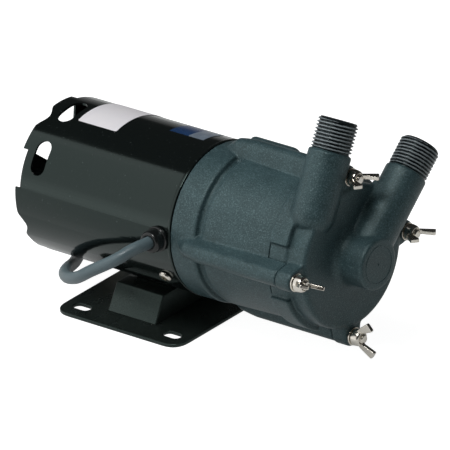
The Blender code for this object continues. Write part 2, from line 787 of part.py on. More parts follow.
def build_stator():
    front = STATOR_REAR + STATOR_LENGTH
    core = ring_points(STATOR_BORE, SHELL_BORE - SEAT_GAP, STATOR_REAR, front)
    turned_part("stator_core", core, lamination_steel(), closed=True, steps=TURNED)
    mid = (WINDING_INNER + WINDING_OUTER) / 2.0
    reach = (WINDING_OUTER - WINDING_INNER) / 2.0
    corner = WINDING_LENGTH * 0.45
    for name, near, far in (
        ("rear_winding", STATOR_REAR - SEAT_GAP, STATOR_REAR - SEAT_GAP - WINDING_LENGTH),
        ("front_winding", front + SEAT_GAP, front + SEAT_GAP + WINDING_LENGTH),
    ):
        low = min(near, far)
        high = max(near, far)
        outer = [(WINDING_OUTER, low + corner), (WINDING_OUTER - corner, low)]
        inner = [(WINDING_INNER + corner, low), (WINDING_INNER, low + corner)]
        if far < near:
            points = [(WINDING_OUTER, high), *outer, *inner, (WINDING_INNER, high)]
        else:
            points = [
                (mid + reach - corner, high),
                (WINDING_OUTER, high - corner),
                (WINDING_OUTER, low),
                (WINDING_INNER, low),
                (WINDING_INNER, high - corner),
                (mid - reach + corner, high),
            ]
        turned_part(name, points, copper_winding(), closed=True, steps=TURNED)


def bell_rear():
    return SHELL_FRONT - BELL_DEPTH


def build_front_bell():
    """Cast bell inside the shell's mouth, with the front bearing's seat."""
    rear = bell_rear()
    seat = BEARING_RADIUS + SEAT_GAP
    hub = seat + 0.0028
    rim = SHELL_BORE - SEAT_GAP
    front = SHELL_FRONT
    points = [
        (rim, front),
        (rim, rear),
        (rim - BELL_RIM_WALL, rear),
        (rim - BELL_RIM_WALL, front - BELL_WEB),
        (hub, front - BELL_WEB),
        (hub, front - BEARING_LENGTH),
        (seat, front - BEARING_LENGTH),
        (seat, front),
    ]
    bell = turned_part("front_bell", points, ground_steel(), closed=True, steps=TURNED)
    hole = rod_mesh("bell_hole", BRACKET_SCREW_RADIUS + SEAT_GAP, BRACKET_SCREW_RADIUS + SEAT_GAP, 3.0 * OVERRUN, FINE)
    for index, angle in enumerate(BOLT_ANGLES):
        at = polar(BRACKET_SCREW_CIRCLE, angle + 45.0, front - 2.0 * OVERRUN)
        cut(bell, tool(f"bell_hole_{index}", hole, MACHINE, at))
    clear = RELIEF_NECK_RADIUS + 2.0 * SEAT_GAP
    depth = rim - BELL_RIM_WALL - OVERRUN / 2.0
    cut(bell, radial_tool("bell_notch", clear, RELIEF_ANGLE, RELIEF_X, MEDIUM, depth))


def build_bearings():
    bore = SHAFT_RADIUS + SEAT_GAP
    for name, rear in (("rear_bearing", END_PLATE_REAR), ("front_bearing", SHELL_FRONT - BEARING_LENGTH)):
        turned_part(name, ring_points(bore, BEARING_RADIUS, rear, rear + BEARING_LENGTH), ground_steel(), closed=True, steps=MEDIUM)


def rotor_station():
    return STATOR_REAR + STATOR_LENGTH / 2.0


def build_shaft():
    rear = END_PLATE_REAR - SHAFT_REAR_OVERHANG
    front = DRIVE_HUB_REAR + DRIVE_HUB_LENGTH
    points = [(0.0, front), (SHAFT_RADIUS, front), (SHAFT_RADIUS, rear), (0.0, rear)]
    origin = rotor_station()
    local = [(radius, station - origin) for radius, station in points]
    turned_part("motor_shaft", local, ground_steel(), steps=FINE, at=(0.0, 0.0, origin))


def build_rotor_core():
    origin = rotor_station()
    half = STATOR_LENGTH / 2.0
    ring = 0.0030
    outer = STATOR_BORE - AIR_GAP
    end_ring = outer - 0.0016
    bore = SHAFT_RADIUS + SEAT_GAP
    points = [
        (end_ring, half + ring),
        (end_ring, half),
        (outer, half),
        (outer, -half),
        (end_ring, -half),
        (end_ring, -half - ring),
        (bore, -half - ring),
        (bore, half + ring),
    ]
    turned_part("rotor_core", points, lamination_steel(), closed=True, steps=TURNED, at=(0.0, 0.0, origin))


def fan_front():
    return STATOR_REAR - SEAT_GAP - WINDING_LENGTH - FAN_CLEARANCE


def build_fan():
    """Radial-blade cooling fan behind the rear winding."""
    front = fan_front()
    disc_front = front
    disc_rear = front - FAN_DISC_THICKNESS
    rear = disc_rear - FAN_BLADE_HEIGHT
    bore = SHAFT_RADIUS + SEAT_GAP
    points = [
        (FAN_RADIUS, disc_front - front),
        (FAN_RADIUS, disc_rear - front),
        (FAN_HUB_RADIUS, disc_rear - front),
        (FAN_HUB_RADIUS, rear - front),
        (bore, rear - front),
        (bore, disc_front - front),
    ]
    fan = turned_part("cooling_fan", points, black_plastic(), closed=True, steps=TURNED, at=(0.0, 0.0, front))
    reach = FAN_RADIUS - FAN_HUB_RADIUS
    middle = FAN_HUB_RADIUS + reach / 2.0 - FAN_BLADE_THICKNESS / 2.0
    blade = box_mesh("fan_blade", (reach, FAN_BLADE_THICKNESS, FAN_BLADE_HEIGHT + FAN_DISC_THICKNESS / 2.0))
    for index in range(FAN_BLADES):
        angle = 360.0 * index / FAN_BLADES
        at = polar(middle, angle, rear + (FAN_BLADE_HEIGHT + FAN_DISC_THICKNESS / 2.0) / 2.0)
        join(fan, tool(f"fan_blade_{index}", blade, MACHINE, at, (0.0, 0.0, math.radians(angle))))


def build_ground_screw():
    top = SHELL_RADIUS + SEAT_GAP
    mesh = rod_mesh("ground_screw", GROUND_SCREW_RADIUS, GROUND_SCREW_RADIUS, SHELL_WALL + SEAT_GAP + OVERRUN / 8.0, FINE)
    at = polar(SHELL_BORE, GROUND_SCREW_ANGLE, GROUND_SCREW_X)
    screw = link_object("ground_screw", mesh, PARTS, MACHINE, at, radial_turn(GROUND_SCREW_ANGLE))
    as_part(screw, bright_steel())
    head = rod_mesh("ground_head", GROUND_SCREW_HEAD_RADIUS, GROUND_SCREW_HEAD_RADIUS * 0.8, GROUND_SCREW_HEAD_HEIGHT, FINE)
    at = polar(top, GROUND_SCREW_ANGLE, GROUND_SCREW_X)
    join(screw, tool("ground_head", head, MACHINE, at, radial_turn(GROUND_SCREW_ANGLE)))


def build_strain_relief():
    """Snap-in bushing: domed knob outside the shell, neck through its hole, tapered sleeve inside."""
    face = SHELL_RADIUS + SEAT_GAP
    points = [
        (0.0, RELIEF_OUTSIDE),
        (RELIEF_TIP_RADIUS - 0.0012, RELIEF_OUTSIDE),
        (RELIEF_TIP_RADIUS, RELIEF_OUTSIDE - 0.0008),
        (RELIEF_RADIUS, RELIEF_OUTSIDE * 0.55),
        (RELIEF_RADIUS, 0.0006),
        (RELIEF_RADIUS - 0.0006, 0.0),
        (RELIEF_NECK_RADIUS, 0.0),
        (RELIEF_NECK_RADIUS, -RELIEF_INSIDE * 0.7),
        (RELIEF_NECK_RADIUS * 0.9, -RELIEF_INSIDE),
        (0.0, -RELIEF_INSIDE),
    ]
    at = polar(face, RELIEF_ANGLE, RELIEF_X)
    relief = turned("strain_relief", points, PARTS, MACHINE, steps=MEDIUM, at=at)
    relief.rotation_euler = radial_turn(RELIEF_ANGLE)
    relief.data.materials.append(black_plastic())
    bore = CORD_DIAMETER / 2.0 + SEAT_GAP
    hole = rod_mesh("cord_entry", bore, bore, RELIEF_CORD_DEPTH + OVERRUN, FINE)
    mouth = polar(face + RELIEF_OUTSIDE - RELIEF_CORD_DEPTH, RELIEF_ANGLE, RELIEF_X)
    cut(relief, tool("cord_entry", hole, MACHINE, mouth, radial_turn(RELIEF_ANGLE)))


def bracket_profile():
    shaft_hole = BRACKET_SHAFT_HOLE
    web_front = BRACKET_REAR + BRACKET_WEB
    groove = BRACKET_REAR_RADIUS - GROOVE_DEPTH
    return [
        (BRACKET_FRONT_RADIUS, PARTING + TRIM),
        (BRACKET_REAR_RADIUS - 0.0004, PANEL_REAR + 0.0006),
        (BRACKET_REAR_RADIUS - 0.0012, PANEL_REAR),
        (groove, PANEL_REAR),
        (groove, RING_FRONT),
        (RING_RADIUS - 0.0010, RING_FRONT),
        (RING_RADIUS, RING_FRONT - 0.0012),
        (RING_RADIUS, BRACKET_REAR),
        (shaft_hole, BRACKET_REAR),
        (shaft_hole, web_front),
        (BRACKET_BORE, web_front),
        (BRACKET_BORE, PARTING + TRIM),
    ]


def bracket_screw_places():
    return [polar(BRACKET_SCREW_CIRCLE, angle + 45.0) for angle in BOLT_ANGLES]


def build_bracket():
    """Moulded drum between motor and volute, with four long bolt bosses on its outside."""
    bracket = turned_part("adapter_bracket", bracket_profile(), moulded_plastic(), closed=True, steps=ROUND)
    front = COLLAR_FRONT
    boss = section_mesh("bolt_boss", bolt_boss_sections(front))
    for index, angle in enumerate(BOLT_ANGLES):
        join(bracket, tool(f"bolt_boss_{index}", boss, MACHINE, turn=(0.0, 0.0, math.radians(angle))))
    lug = turned("side_lug", lug_points(), CUTTERS, MACHINE, steps=MEDIUM, at=polar(LUG_CIRCLE, LUG_ANGLE, BRACKET_REAR))
    join(bracket, as_cutter(lug))
    depth = STUD_BURIED + OVERRUN
    hole = rod_mesh("stud_socket", STUD_RADIUS + SEAT_GAP, STUD_RADIUS + SEAT_GAP, depth, FINE)
    for index, angle in enumerate(BOLT_ANGLES):
        at = polar(BOLT_CIRCLE, angle, front - STUD_BURIED)
        cut(bracket, tool(f"stud_socket_{index}", hole, MACHINE, at))
    hole = rod_mesh("web_hole", BRACKET_SCREW_RADIUS + SEAT_GAP, BRACKET_SCREW_RADIUS + SEAT_GAP, 3.0 * OVERRUN, FINE)
    for index, place in enumerate(bracket_screw_places()):
        cut(bracket, tool(f"web_hole_{index}", hole, MACHINE, place + Vector((0, 0, BRACKET_REAR - OVERRUN))))
    cut(bracket, turned_cutter("casing_clearance", casing_clearance_points(), steps=ROUND))


def rib_outline(centre, radius, flare, foot):
    """Section of a bolt boss: X outward, Y round the drum; a round top on two spreading flanks."""
    half = radius + flare
    return [(foot, half), *arc((centre, 0.0), radius, 80.0, -80.0, 9), (foot, -half)]


def bolt_boss_sections(front):
    """The boss climbs out of the ring along a ramp, then runs straight to its front."""
    rear = BRACKET_REAR + BOLT_BOSS_SETBACK
    foot = BRACKET_REAR_RADIUS - BOLT_BOSS_ROOT
    sections = []
    for share, shift, size in BOLT_RAMP:
        outline = rib_outline(BOLT_CIRCLE + shift, BOLT_BOSS_RADIUS * size, BOLT_BOSS_FLARE * size, foot)
        sections.append((rear + share * BOLT_RAMP_LENGTH, outline))
    return [*sections, (front, sections[-1][1])]


def lug_points():
    """Round bump on the far shoulder of the drum, with a ball end to the front."""
    return [
        (0.0, LUG_LENGTH + LUG_RADIUS),
        *arc((0.0, LUG_LENGTH), LUG_RADIUS, 72.0, 0.0, 5),
        (LUG_RADIUS, BOLT_BOSS_SETBACK),
        (LUG_RADIUS * 0.8, BOLT_BOSS_SETBACK - 0.0012),
        (0.0, BOLT_BOSS_SETBACK - 0.0012),
    ]


def casing_clearance_points():
    """Trims drum and bosses at the parting plane, and clears the volute's body between the bosses."""
    return [
        (0.0, COLLAR_FRONT + OVERRUN),
        (skirt_radius() + SEAT_GAP, COLLAR_FRONT + OVERRUN),
        (skirt_radius() + SEAT_GAP, PARTING),
        (0.0, PARTING),
    ]


def skirt_radius():
    return CASING_FLANGE_RADIUS + SEAT_GAP + SKIRT_WALL


def build_bracket_screws():
    """Screws from inside the bracket, through its web, into the front bell."""
    head_rear = BRACKET_REAR + BRACKET_WEB + SEAT_GAP
    tip = SHELL_FRONT - BELL_WEB
    points = [
        (0.0, head_rear + BRACKET_SCREW_HEAD_HEIGHT),
        (BRACKET_SCREW_HEAD_RADIUS * 0.86, head_rear + BRACKET_SCREW_HEAD_HEIGHT),
        (BRACKET_SCREW_HEAD_RADIUS, head_rear),
        (BRACKET_SCREW_RADIUS, head_rear),
        (BRACKET_SCREW_RADIUS, tip),
        (0.0, tip),
    ]
    for index, place in enumerate(bracket_screw_places()):
        turned_part(f"bracket_screw_{index + 1}", points, bright_steel(), steps=FINE, at=place)


def drive_cup_bore():
    return DRIVE_CUP_RADIUS - DRIVE_CUP_WALL


def drive_web_front():
    return DRIVE_HUB_REAR + DRIVE_HUB_LENGTH


def build_drive_hub():
    """Cup on the motor shaft that carries the outer magnet ring round the rear casing."""
    origin = rotor_station()
    bore = SHAFT_RADIUS + SEAT_GAP
    web_front = drive_web_front()
    web_rear = web_front - DRIVE_WEB
    front = web_front + SEAT_GAP + DRIVE_MAGNET_LENGTH
    points = [
        (DRIVE_CUP_RADIUS, front),
        (DRIVE_CUP_RADIUS, web_rear),
        (DRIVE_HUB_RADIUS, web_rear),
        (DRIVE_HUB_RADIUS, DRIVE_HUB_REAR),
        (bore, DRIVE_HUB_REAR),
        (bore, web_front),
        (drive_cup_bore(), web_front),
        (drive_cup_bore(), front),
    ]
    local = [(radius, station - origin) for radius, station in points]
    turned_part("drive_hub", local, ground_steel(), closed=True, steps=TURNED, at=(0.0, 0.0, origin))
    rear = web_front + SEAT_GAP
    outer = drive_cup_bore() - SEAT_GAP
    ring = ring_points(outer - DRIVE_MAGNET_WALL, outer, rear - origin, front - origin)
    turned_part("drive_magnet", ring, ferrite(), closed=True, steps=TURNED, at=(0.0, 0.0, origin))


def build_rear_casing():
    """Closed cup between the two magnets; its flange is clamped behind the volute."""
    inner = CASING_CUP_RADIUS - CASING_WALL
    floor = CASING_REAR + CASING_WALL
    socket = SPINDLE_RADIUS + SEAT_GAP
    points = [
        (0.0, floor),
        (socket, floor),
        (socket, SOCKET_FRONT),
        (SPINDLE_SOCKET_RADIUS, SOCKET_FRONT),
        (SPINDLE_SOCKET_RADIUS, floor),
        (inner, floor),
        (inner, FLANGE_FRONT),
        (CASING_FLANGE_RADIUS, FLANGE_FRONT),
        (CASING_FLANGE_RADIUS, FLANGE_REAR),
        (CASING_CUP_RADIUS, FLANGE_REAR),
        (CASING_CUP_RADIUS, CASING_REAR + 0.0015),
        (CASING_CUP_RADIUS - 0.0015, CASING_REAR),
        (0.0, CASING_REAR),
    ]
    turned_part("rear_casing", points, moulded_plastic(), steps=TURNED)


def build_spindle():
    rear = CASING_REAR + CASING_WALL + SEAT_GAP
    points = [(0.0, SPINDLE_FRONT), (SPINDLE_RADIUS, SPINDLE_FRONT), (SPINDLE_RADIUS, rear), (0.0, rear)]
    turned_part("impeller_spindle", points, ceramic(), steps=FINE)
    bore = SPINDLE_RADIUS + SEAT_GAP
    for name, seat in (("rear_thrust_washer", SOCKET_FRONT + SEAT_GAP), ("front_thrust_washer", VANE_FRONT + SEAT_GAP)):
        turned_part(name, ring_points(bore, WASHER_RADIUS, seat, seat + WASHER_THICKNESS), ceramic(), closed=True, steps=FINE)


def build_impeller():
    bore = SPINDLE_RADIUS + SEAT_GAP
    origin = DISC_REAR
    disc_front = DISC_REAR + IMPELLER_DISC
    points = [
        (IMPELLER_NECK_RADIUS - 0.0020, VANE_FRONT),
        (IMPELLER_NECK_RADIUS, disc_front),
        (IMPELLER_RADIUS, disc_front),
        (IMPELLER_RADIUS, DISC_REAR),
        (IMPELLER_NECK_RADIUS, DISC_REAR),
        (IMPELLER_NECK_RADIUS, MAGNET_REAR),
        (bore, MAGNET_REAR),
        (bore, VANE_FRONT),
    ]
    local = [(radius, station - origin) for radius, station in points]
    impeller = turned_part("impeller", local, moulded_plastic(), closed=True, steps=TURNED, at=(0.0, 0.0, origin))
    height = IMPELLER_VANE_HEIGHT + IMPELLER_DISC / 2.0
    vane = outline_mesh("impeller_vane", vane_outline(), height)
    for index in range(IMPELLER_VANES):
        at = (0.0, 0.0, VANE_FRONT - height / 2.0)
        turn = (0.0, 0.0, math.tau * index / IMPELLER_VANES)
        join(impeller, tool(f"impeller_vane_{index}", vane, MACHINE, at, turn))
    magnet = ring_points(
        IMPELLER_NECK_RADIUS + SEAT_GAP,
        IMPELLER_MAGNET_RADIUS,
        MAGNET_REAR - origin,
        MAGNET_FRONT - origin,
    )
    turned_part("impeller_magnet", magnet, ferrite(), closed=True, steps=TURNED, at=(0.0, 0.0, origin))


def vane_outline():
    """A swept vane: two spirals from the eye to the rim, a vane's thickness apart."""
    count = 7
    inner_side = []
    outer_side = []
    for index in range(count):
        share = index / (count - 1)
        radius = IMPELLER_VANE_INNER + (IMPELLER_RADIUS - 0.0004 - IMPELLER_VANE_INNER) * share
        angle = IMPELLER_VANE_SWEEP * share
        half = math.degrees(IMPELLER_VANE_THICKNESS / 2.0 / radius)
        inner_side.append(tuple(polar(radius, angle - half)[:2]))
        outer_side.append(tuple(polar(radius, angle + half)[:2]))
    return inner_side + outer_side[::-1]


def volute_profile():
    """Boss, fillet, face, edge and body down the outside, solid to its rear."""
    boss_edge = 0.0018
    fillet = arc(
        (INLET_BOSS_RADIUS + INLET_BOSS_FILLET, FACE + INLET_BOSS_FILLET),
        INLET_BOSS_FILLET,
        180.0,
        270.0,
        4,
    )
    edge = arc((VOLUTE_RADIUS - VOLUTE_EDGE, FACE - VOLUTE_EDGE), VOLUTE_EDGE, 90.0, 0.0, 3)
    return [
        (0.0, BOSS_FRONT),
        (INLET_BOSS_RADIUS - boss_edge, BOSS_FRONT),
        (INLET_BOSS_RADIUS - 0.0003, BOSS_FRONT - boss_edge * 0.6),
        (INLET_BOSS_RADIUS, BOSS_FRONT - boss_edge),
        *fillet,
        *edge,
        (VOLUTE_RADIUS, COLLAR_FRONT),
        (skirt_radius(), COLLAR_FRONT - 0.0020),
        (skirt_radius(), COLLAR_REAR),
        (0.0, COLLAR_REAR),
    ]


def chamber_points():
    """Pumping chamber, seal groove and the skirt's inside, taken out of the volute in one cut."""
    skirt = CASING_FLANGE_RADIUS + SEAT_GAP
    return [
        (0.0, CHAMBER_FRONT),
        (CHAMBER_RADIUS, CHAMBER_FRONT),
        (CHAMBER_RADIUS, SHOULDER),
        *seal_groove(),
        (skirt, SHOULDER),
        (skirt, COLLAR_REAR - OVERRUN),
        (0.0, COLLAR_REAR - OVERRUN),
    ]


def seal_groove():
    """Groove in the shoulder that holds the sealing ring just off the flange."""
    half = SEAL_RING_RADIUS + SEAT_GAP
    depth = 2.0 * SEAL_RING_RADIUS + SEAT_GAP
    return [
        (SEAL_RING_CIRCLE - half, SHOULDER),
        (SEAL_RING_CIRCLE - half, SHOULDER + depth),
        (SEAL_RING_CIRCLE + half, SHOULDER + depth),
        (SEAL_RING_CIRCLE + half, SHOULDER),
    ]


def build_seal():
    """Sealing ring between the rear casing's flange and the volute's shoulder."""
    centre = (SEAL_RING_CIRCLE, SHOULDER + SEAL_RING_RADIUS)
    points = arc(centre, SEAL_RING_RADIUS, 90.0, -225.0, 8)
    turned_part("casing_seal", points, seal_rubber(), closed=True, steps=TURNED)


def tube_axis(angle, start, offset):
    """Rotation and start of a tube that runs in the plane across the shaft."""
    along = polar(1.0, angle)
    side = polar(1.0, angle + 90.0)
    return side * offset + along * start


def tube_turn(angle):
    return Vector((0.0, 0.0, 1.0)).rotation_difference(polar(1.0, angle)).to_euler()


def build_volute():
    """Pump casing with face, inlet boss, two threaded tubes, collar tabs and bolt ears."""
    volute = turned_part("volute", volute_profile(), moulded_plastic(), steps=ROUND)
    gap = 360.0 / BOLT_COUNT - COLLAR_TAB_ANGLE
    tab = [
        (COLLAR_RADIUS, COLLAR_FRONT - 0.0012),
        (COLLAR_RADIUS, COLLAR_REAR),
        (skirt_radius() - 0.0008, COLLAR_REAR),
        (skirt_radius() - 0.0008, COLLAR_FRONT - 0.0022),
        (COLLAR_RADIUS - 0.0012, COLLAR_FRONT),
    ]
    ear_rear = COLLAR_FRONT + SEAT_GAP
    outline = rib_outline(BOLT_CIRCLE, EAR_RADIUS, BOLT_BOSS_FLARE, VOLUTE_RADIUS - EAR_ROOT)
    ear = section_mesh("bolt_ear", [(ear_rear, outline), (EAR_FRONT, outline)])
    for index, angle in enumerate(BOLT_ANGLES):
        mesh = sector_mesh(f"collar_tab_{index}", tab, angle + gap / 2.0, COLLAR_TAB_ANGLE, 5)
        join(volute, tool(f"collar_tab_{index}", mesh, MACHINE))
        join(volute, tool(f"bolt_ear_{index}", ear, MACHINE, turn=(0.0, 0.0, math.radians(angle))))
    add_inlet(volute)
    add_discharge(volute)
    cut(volute, turned_cutter("chamber", chamber_points(), steps=ROUND))
    hole_length = EAR_FRONT - ear_rear + 2.0 * OVERRUN
    hole = rod_mesh("ear_hole", STUD_RADIUS + SEAT_GAP, STUD_RADIUS + SEAT_GAP, hole_length, FINE)
    relief_radius = STUD_WASHER_RADIUS + 3.0 * SEAT_GAP
    spot = rod_mesh("ear_spotface", relief_radius, relief_radius, 2.0 * OVERRUN, FINE)
    for index, angle in enumerate(BOLT_ANGLES):
        cut(volute, tool(f"ear_hole_{index}", hole, MACHINE, polar(BOLT_CIRCLE, angle, ear_rear - OVERRUN)))
        cut(volute, tool(f"ear_spotface_{index}", spot, MACHINE, polar(BOLT_CIRCLE, angle, EAR_FRONT)))
    room = 2.0 * SEAT_GAP
    outline = rib_outline(BOLT_CIRCLE, BOLT_BOSS_RADIUS + room, BOLT_BOSS_FLARE, skirt_radius() - room)
    passage = section_mesh("boss_passage", [(COLLAR_REAR - OVERRUN, outline), (ear_rear, outline)])
    for index, angle in enumerate(BOLT_ANGLES):
        cut(volute, tool(f"boss_passage_{index}", passage, MACHINE, turn=(0.0, 0.0, math.radians(angle))))
    open_passages(volute)


def threaded_tube(name, radius, foot, start, reach, base, angle):
    """Plain tube whose last stretch is turned down to the root of its thread, on a given foot."""
    shoulder = reach - THREAD_LENGTH
    points = [
        (0.0, reach - start),
        (THREAD_RADIUS - 0.0006, reach - start),
        (THREAD_RADIUS, reach - start - 0.0008),
        (THREAD_RADIUS, shoulder - start + 0.0004),
        (radius - 0.0004, shoulder - start),
        (radius, shoulder - start - 0.0006),
        *foot,
    ]
    tube = turned(name, points, CUTTERS, MACHINE, steps=TURNED, at=base)
    tube.rotation_euler = tube_turn(angle)
    return as_cutter(tube)


def add_inlet(volute):
    base = Vector((0.0, 0.0, INLET_X))
    foot = [(TUBE_RADIUS, 0.0), (0.0, 0.0)]
    join(volute, threaded_tube("inlet_tube", TUBE_RADIUS, foot, 0.0, INLET_REACH, base, INLET_ANGLE))
    depth = INLET_X - FACE + VOLUTE_EDGE
    mesh = box_mesh("inlet_fairing", (INLET_FAIRING_REACH, 2.0 * TUBE_RADIUS - 0.0004, depth))
    at = polar(INLET_FAIRING_REACH / 2.0, INLET_ANGLE, INLET_X - depth / 2.0)
    join(volute, tool("inlet_fairing", mesh, MACHINE, at, (0.0, 0.0, math.radians(INLET_ANGLE))))


def add_discharge(volute):
    base = tube_axis(DISCHARGE_LEAN, DISCHARGE_ROOT, DISCHARGE_OFFSET) + Vector((0.0, 0.0, DISCHARGE_X))
    tube = threaded_tube(
        "discharge_tube",
        TUBE_RADIUS,
        [
            (TUBE_RADIUS, DISCHARGE_DOME),
            (TUBE_RADIUS * 0.875, DISCHARGE_DOME * 0.42),
            (TUBE_RADIUS * 0.54, DISCHARGE_DOME * 0.06),
            (0.0, 0.0),
        ],
        DISCHARGE_ROOT,
        DISCHARGE_REACH,
        base,
        DISCHARGE_LEAN,
    )
    join(volute, tube)


def open_passages(volute):
    """Eye, spindle socket and then both tube bores in one cut, once nothing more is joined on."""
    eye = rod_mesh("inlet_eye", INLET_EYE_RADIUS, INLET_EYE_RADIUS, INLET_X - CHAMBER_FRONT + OVERRUN, MEDIUM)
    cut(volute, tool("inlet_eye", eye, MACHINE, (0.0, 0.0, CHAMBER_FRONT - OVERRUN)))
    socket = SPINDLE_RADIUS + SEAT_GAP
    mesh = rod_mesh("spindle_socket", socket, socket, SPINDLE_FRONT + SEAT_GAP - INLET_X + TRIM, FINE)
    cut(volute, tool("spindle_socket", mesh, MACHINE, (0.0, 0.0, INLET_X - TRIM)))
    discharge = tube_axis(DISCHARGE_LEAN, DISCHARGE_BORE_START, DISCHARGE_OFFSET)
    runs = (
        (Vector((0.0, 0.0, INLET_X)), INLET_ANGLE, INLET_REACH + OVERRUN),
        (discharge + Vector((0.0, 0.0, DISCHARGE_X)), DISCHARGE_LEAN, DISCHARGE_REACH - DISCHARGE_BORE_START + OVERRUN),
    )
    bm = bmesh.new()
    for start, angle, length in runs:
        place = Matrix.Translation(start) @ tube_turn(angle).to_matrix().to_4x4()
        middle = Matrix.Translation((0.0, 0.0, length / 2.0))
        bmesh.ops.create_cone(
            bm,
            cap_ends=True,
            segments=MEDIUM,
            radius1=TUBE_BORE,
            radius2=TUBE_BORE,
            depth=length,
            matrix=place @ middle,
        )
    cut(volute, tool("tube_bores", mesh_from(bm, "tube_bores"), MACHINE))


def build_studs():
    """Four studs buried in the bracket's bosses, each with a washer on the volute's ear."""
    rear = COLLAR_FRONT - STUD_BURIED + SEAT_GAP
    front = NUT_FRONT + STUD_PROUD
    mesh = rod_mesh("casing_stud", STUD_RADIUS, STUD_RADIUS, front - rear, FINE)
    for key, angle in zip(BOLT_NAMES, BOLT_ANGLES):
        stud = link_object(f"casing_stud_{key}", mesh.copy(), PARTS, MACHINE, polar(BOLT_CIRCLE, angle, rear))
        as_part(stud, bright_steel())
        points = ring_points(STUD_RADIUS + SEAT_GAP, STUD_WASHER_RADIUS, 0.0, STUD_WASHER_THICKNESS)
        at = polar(BOLT_CIRCLE, angle, EAR_FRONT + SEAT_GAP)
        turned_part(f"stud_washer_{key}", points, bright_steel(), closed=True, steps=FINE, at=at)


def wing_outline():
    """One wing in the plane of the shaft: X outward, Y forward; its foot is inside the hub."""
    foot = WING_HUB_TIP_RADIUS * 0.80
    low = 0.0014
    lean = math.radians(WING_LEAN)
    reach = WING_SPAN / 2.0
    start = (WING_HUB_RADIUS + 0.0005, low + 0.0011)
    tip = (reach, start[1] + (reach - start[0]) * math.tan(lean))
    back = (tip[0] - WING_WIDTH * math.sin(lean), tip[1] + WING_WIDTH * math.cos(lean))
    corner = WING_WIDTH * 0.16
    outward = (math.cos(lean), math.sin(lean))
    across = (-math.sin(lean), math.cos(lean))
    return [
        (foot, low),
        start,
        (tip[0] - corner * outward[0], tip[1] - corner * outward[1]),
        (tip[0] + corner * across[0], tip[1] + corner * across[1]),
        (back[0] - corner * across[0], back[1] - corner * across[1]),
        (back[0] - corner * outward[0], back[1] - corner * outward[1]),
        (WING_HUB_TIP_RADIUS - 0.0005, WING_HUB_HEIGHT + 0.0007),
        (foot, WING_HUB_HEIGHT - 0.0004),
    ]


def build_wing_nut(name, angle, bearing):
    """Hub and two wings, free to turn about its own stud."""
    at = polar(BOLT_CIRCLE, angle, NUT_SEAT)
    mesh = rod_mesh(name, WING_HUB_RADIUS, WING_HUB_TIP_RADIUS, WING_HUB_HEIGHT, FINE)
    nut = as_part(link_object(name, mesh, PARTS, MACHINE, at, (0.0, 0.0, math.radians(bearing))), bright_steel())
    wing = outline_mesh(name + "_wing", wing_outline(), WING_THICKNESS)
    for side in (0.0, math.pi):
        basis = Matrix.Rotation(math.radians(bearing) + side, 3, "Z") @ Matrix.Rotation(math.pi / 2.0, 3, "X")
        join(nut, tool(f"{name}_wing_{round(side)}", wing, MACHINE, at, basis.to_euler()))
    bore = STUD_RADIUS + SEAT_GAP
    hole = rod_mesh(name + "_bore", bore, bore, WING_HUB_HEIGHT + 2.0 * OVERRUN, 16)
    cut(nut, tool(name + "_bore", hole, MACHINE, at - Vector((0.0, 0.0, OVERRUN))))


def smooth_route(points, per_span):
    """Points along a Catmull-Rom curve through a route, with end tangents from its own ends."""
    knots = [Vector(point) for point in points]
    padded = [2.0 * knots[0] - knots[1], *knots, 2.0 * knots[-1] - knots[-2]]
    made = []
    for index in range(1, len(padded) - 2):
        before, start, end, after = padded[index - 1 : index + 3]
        for step in range(per_span):
            t = step / per_span
            made.append(
                0.5
                * (
                    2.0 * start
                    + (end - before) * t
                    + (2.0 * before - 5.0 * start + 4.0 * end - after) * t**2
                    + (3.0 * start - before - 3.0 * end + after) * t**3
                )
            )
    return [*made, knots[-1]]


def relief_axis(height):
    """A point on the bushing's axis, at a height over the shell."""
    return MACHINE.matrix_world @ polar(SHELL_RADIUS + SEAT_GAP + height, RELIEF_ANGLE, RELIEF_X)


def tube_part(name, points, radius, material):
    curve = bpy.data.curves.new(name, "CURVE")
    curve.dimensions = "3D"
    curve.bevel_depth = radius
    curve.bevel_resolution = round(CORD_SIDES / 2) - 2
    curve.use_fill_caps = True
    spline = curve.splines.new("POLY")
    spline.points.add(len(points) - 1)
    for spot, point in zip(spline.points, points):
        spot.co = (*point, 1.0)
    item = link_object(name, curve_to_mesh(name, curve), PARTS, None)
    as_part(item, material)
    return item


def build_cord():
    """The cord from the bushing, round under the motor's rear, to its stored coil, and its tail."""
    inside = relief_axis(RELIEF_OUTSIDE - RELIEF_CORD_DEPTH + SEAT_GAP)
    outside = relief_axis(RELIEF_OUTSIDE + CORD_DIAMETER / 2.0)
    route = smooth_route([inside, outside, *CORD_ROUTE], CORD_POINTS_PER_SPAN)
    tube_part("power_cord", route, CORD_DIAMETER / 2.0, cord_jacket())
    tube_part("cord_tail", smooth_route(TAIL_ROUTE, CORD_POINTS_PER_SPAN), CORD_DIAMETER / 2.0, cord_jacket())


def coil_height():
    return COIL_LAYERS * CORD_DIAMETER


def build_coil():
    half = COIL_COLUMNS * CORD_DIAMETER / 2.0
    low = SEAT_GAP
    high = low + coil_height()
    corner = CORD_DIAMETER * 0.30
    outer = COIL_MEAN_RADIUS + half
    inner = COIL_MEAN_RADIUS - half
    points = [
        (outer - corner, high),
        (outer, high - corner),
        (outer, low + corner),
        (outer - corner, low),
        (inner + corner, low),
        (inner, low + corner),
        (inner, high - corner),
        (inner + corner, high),
    ]
    at = (COIL_CENTRE_X, COIL_CENTRE_Y, 0.0)
    coil = turned("cord_coil", points, PARTS, None, closed=True, steps=TURNED, at=at)
    coil.data.materials.append(cord_jacket())


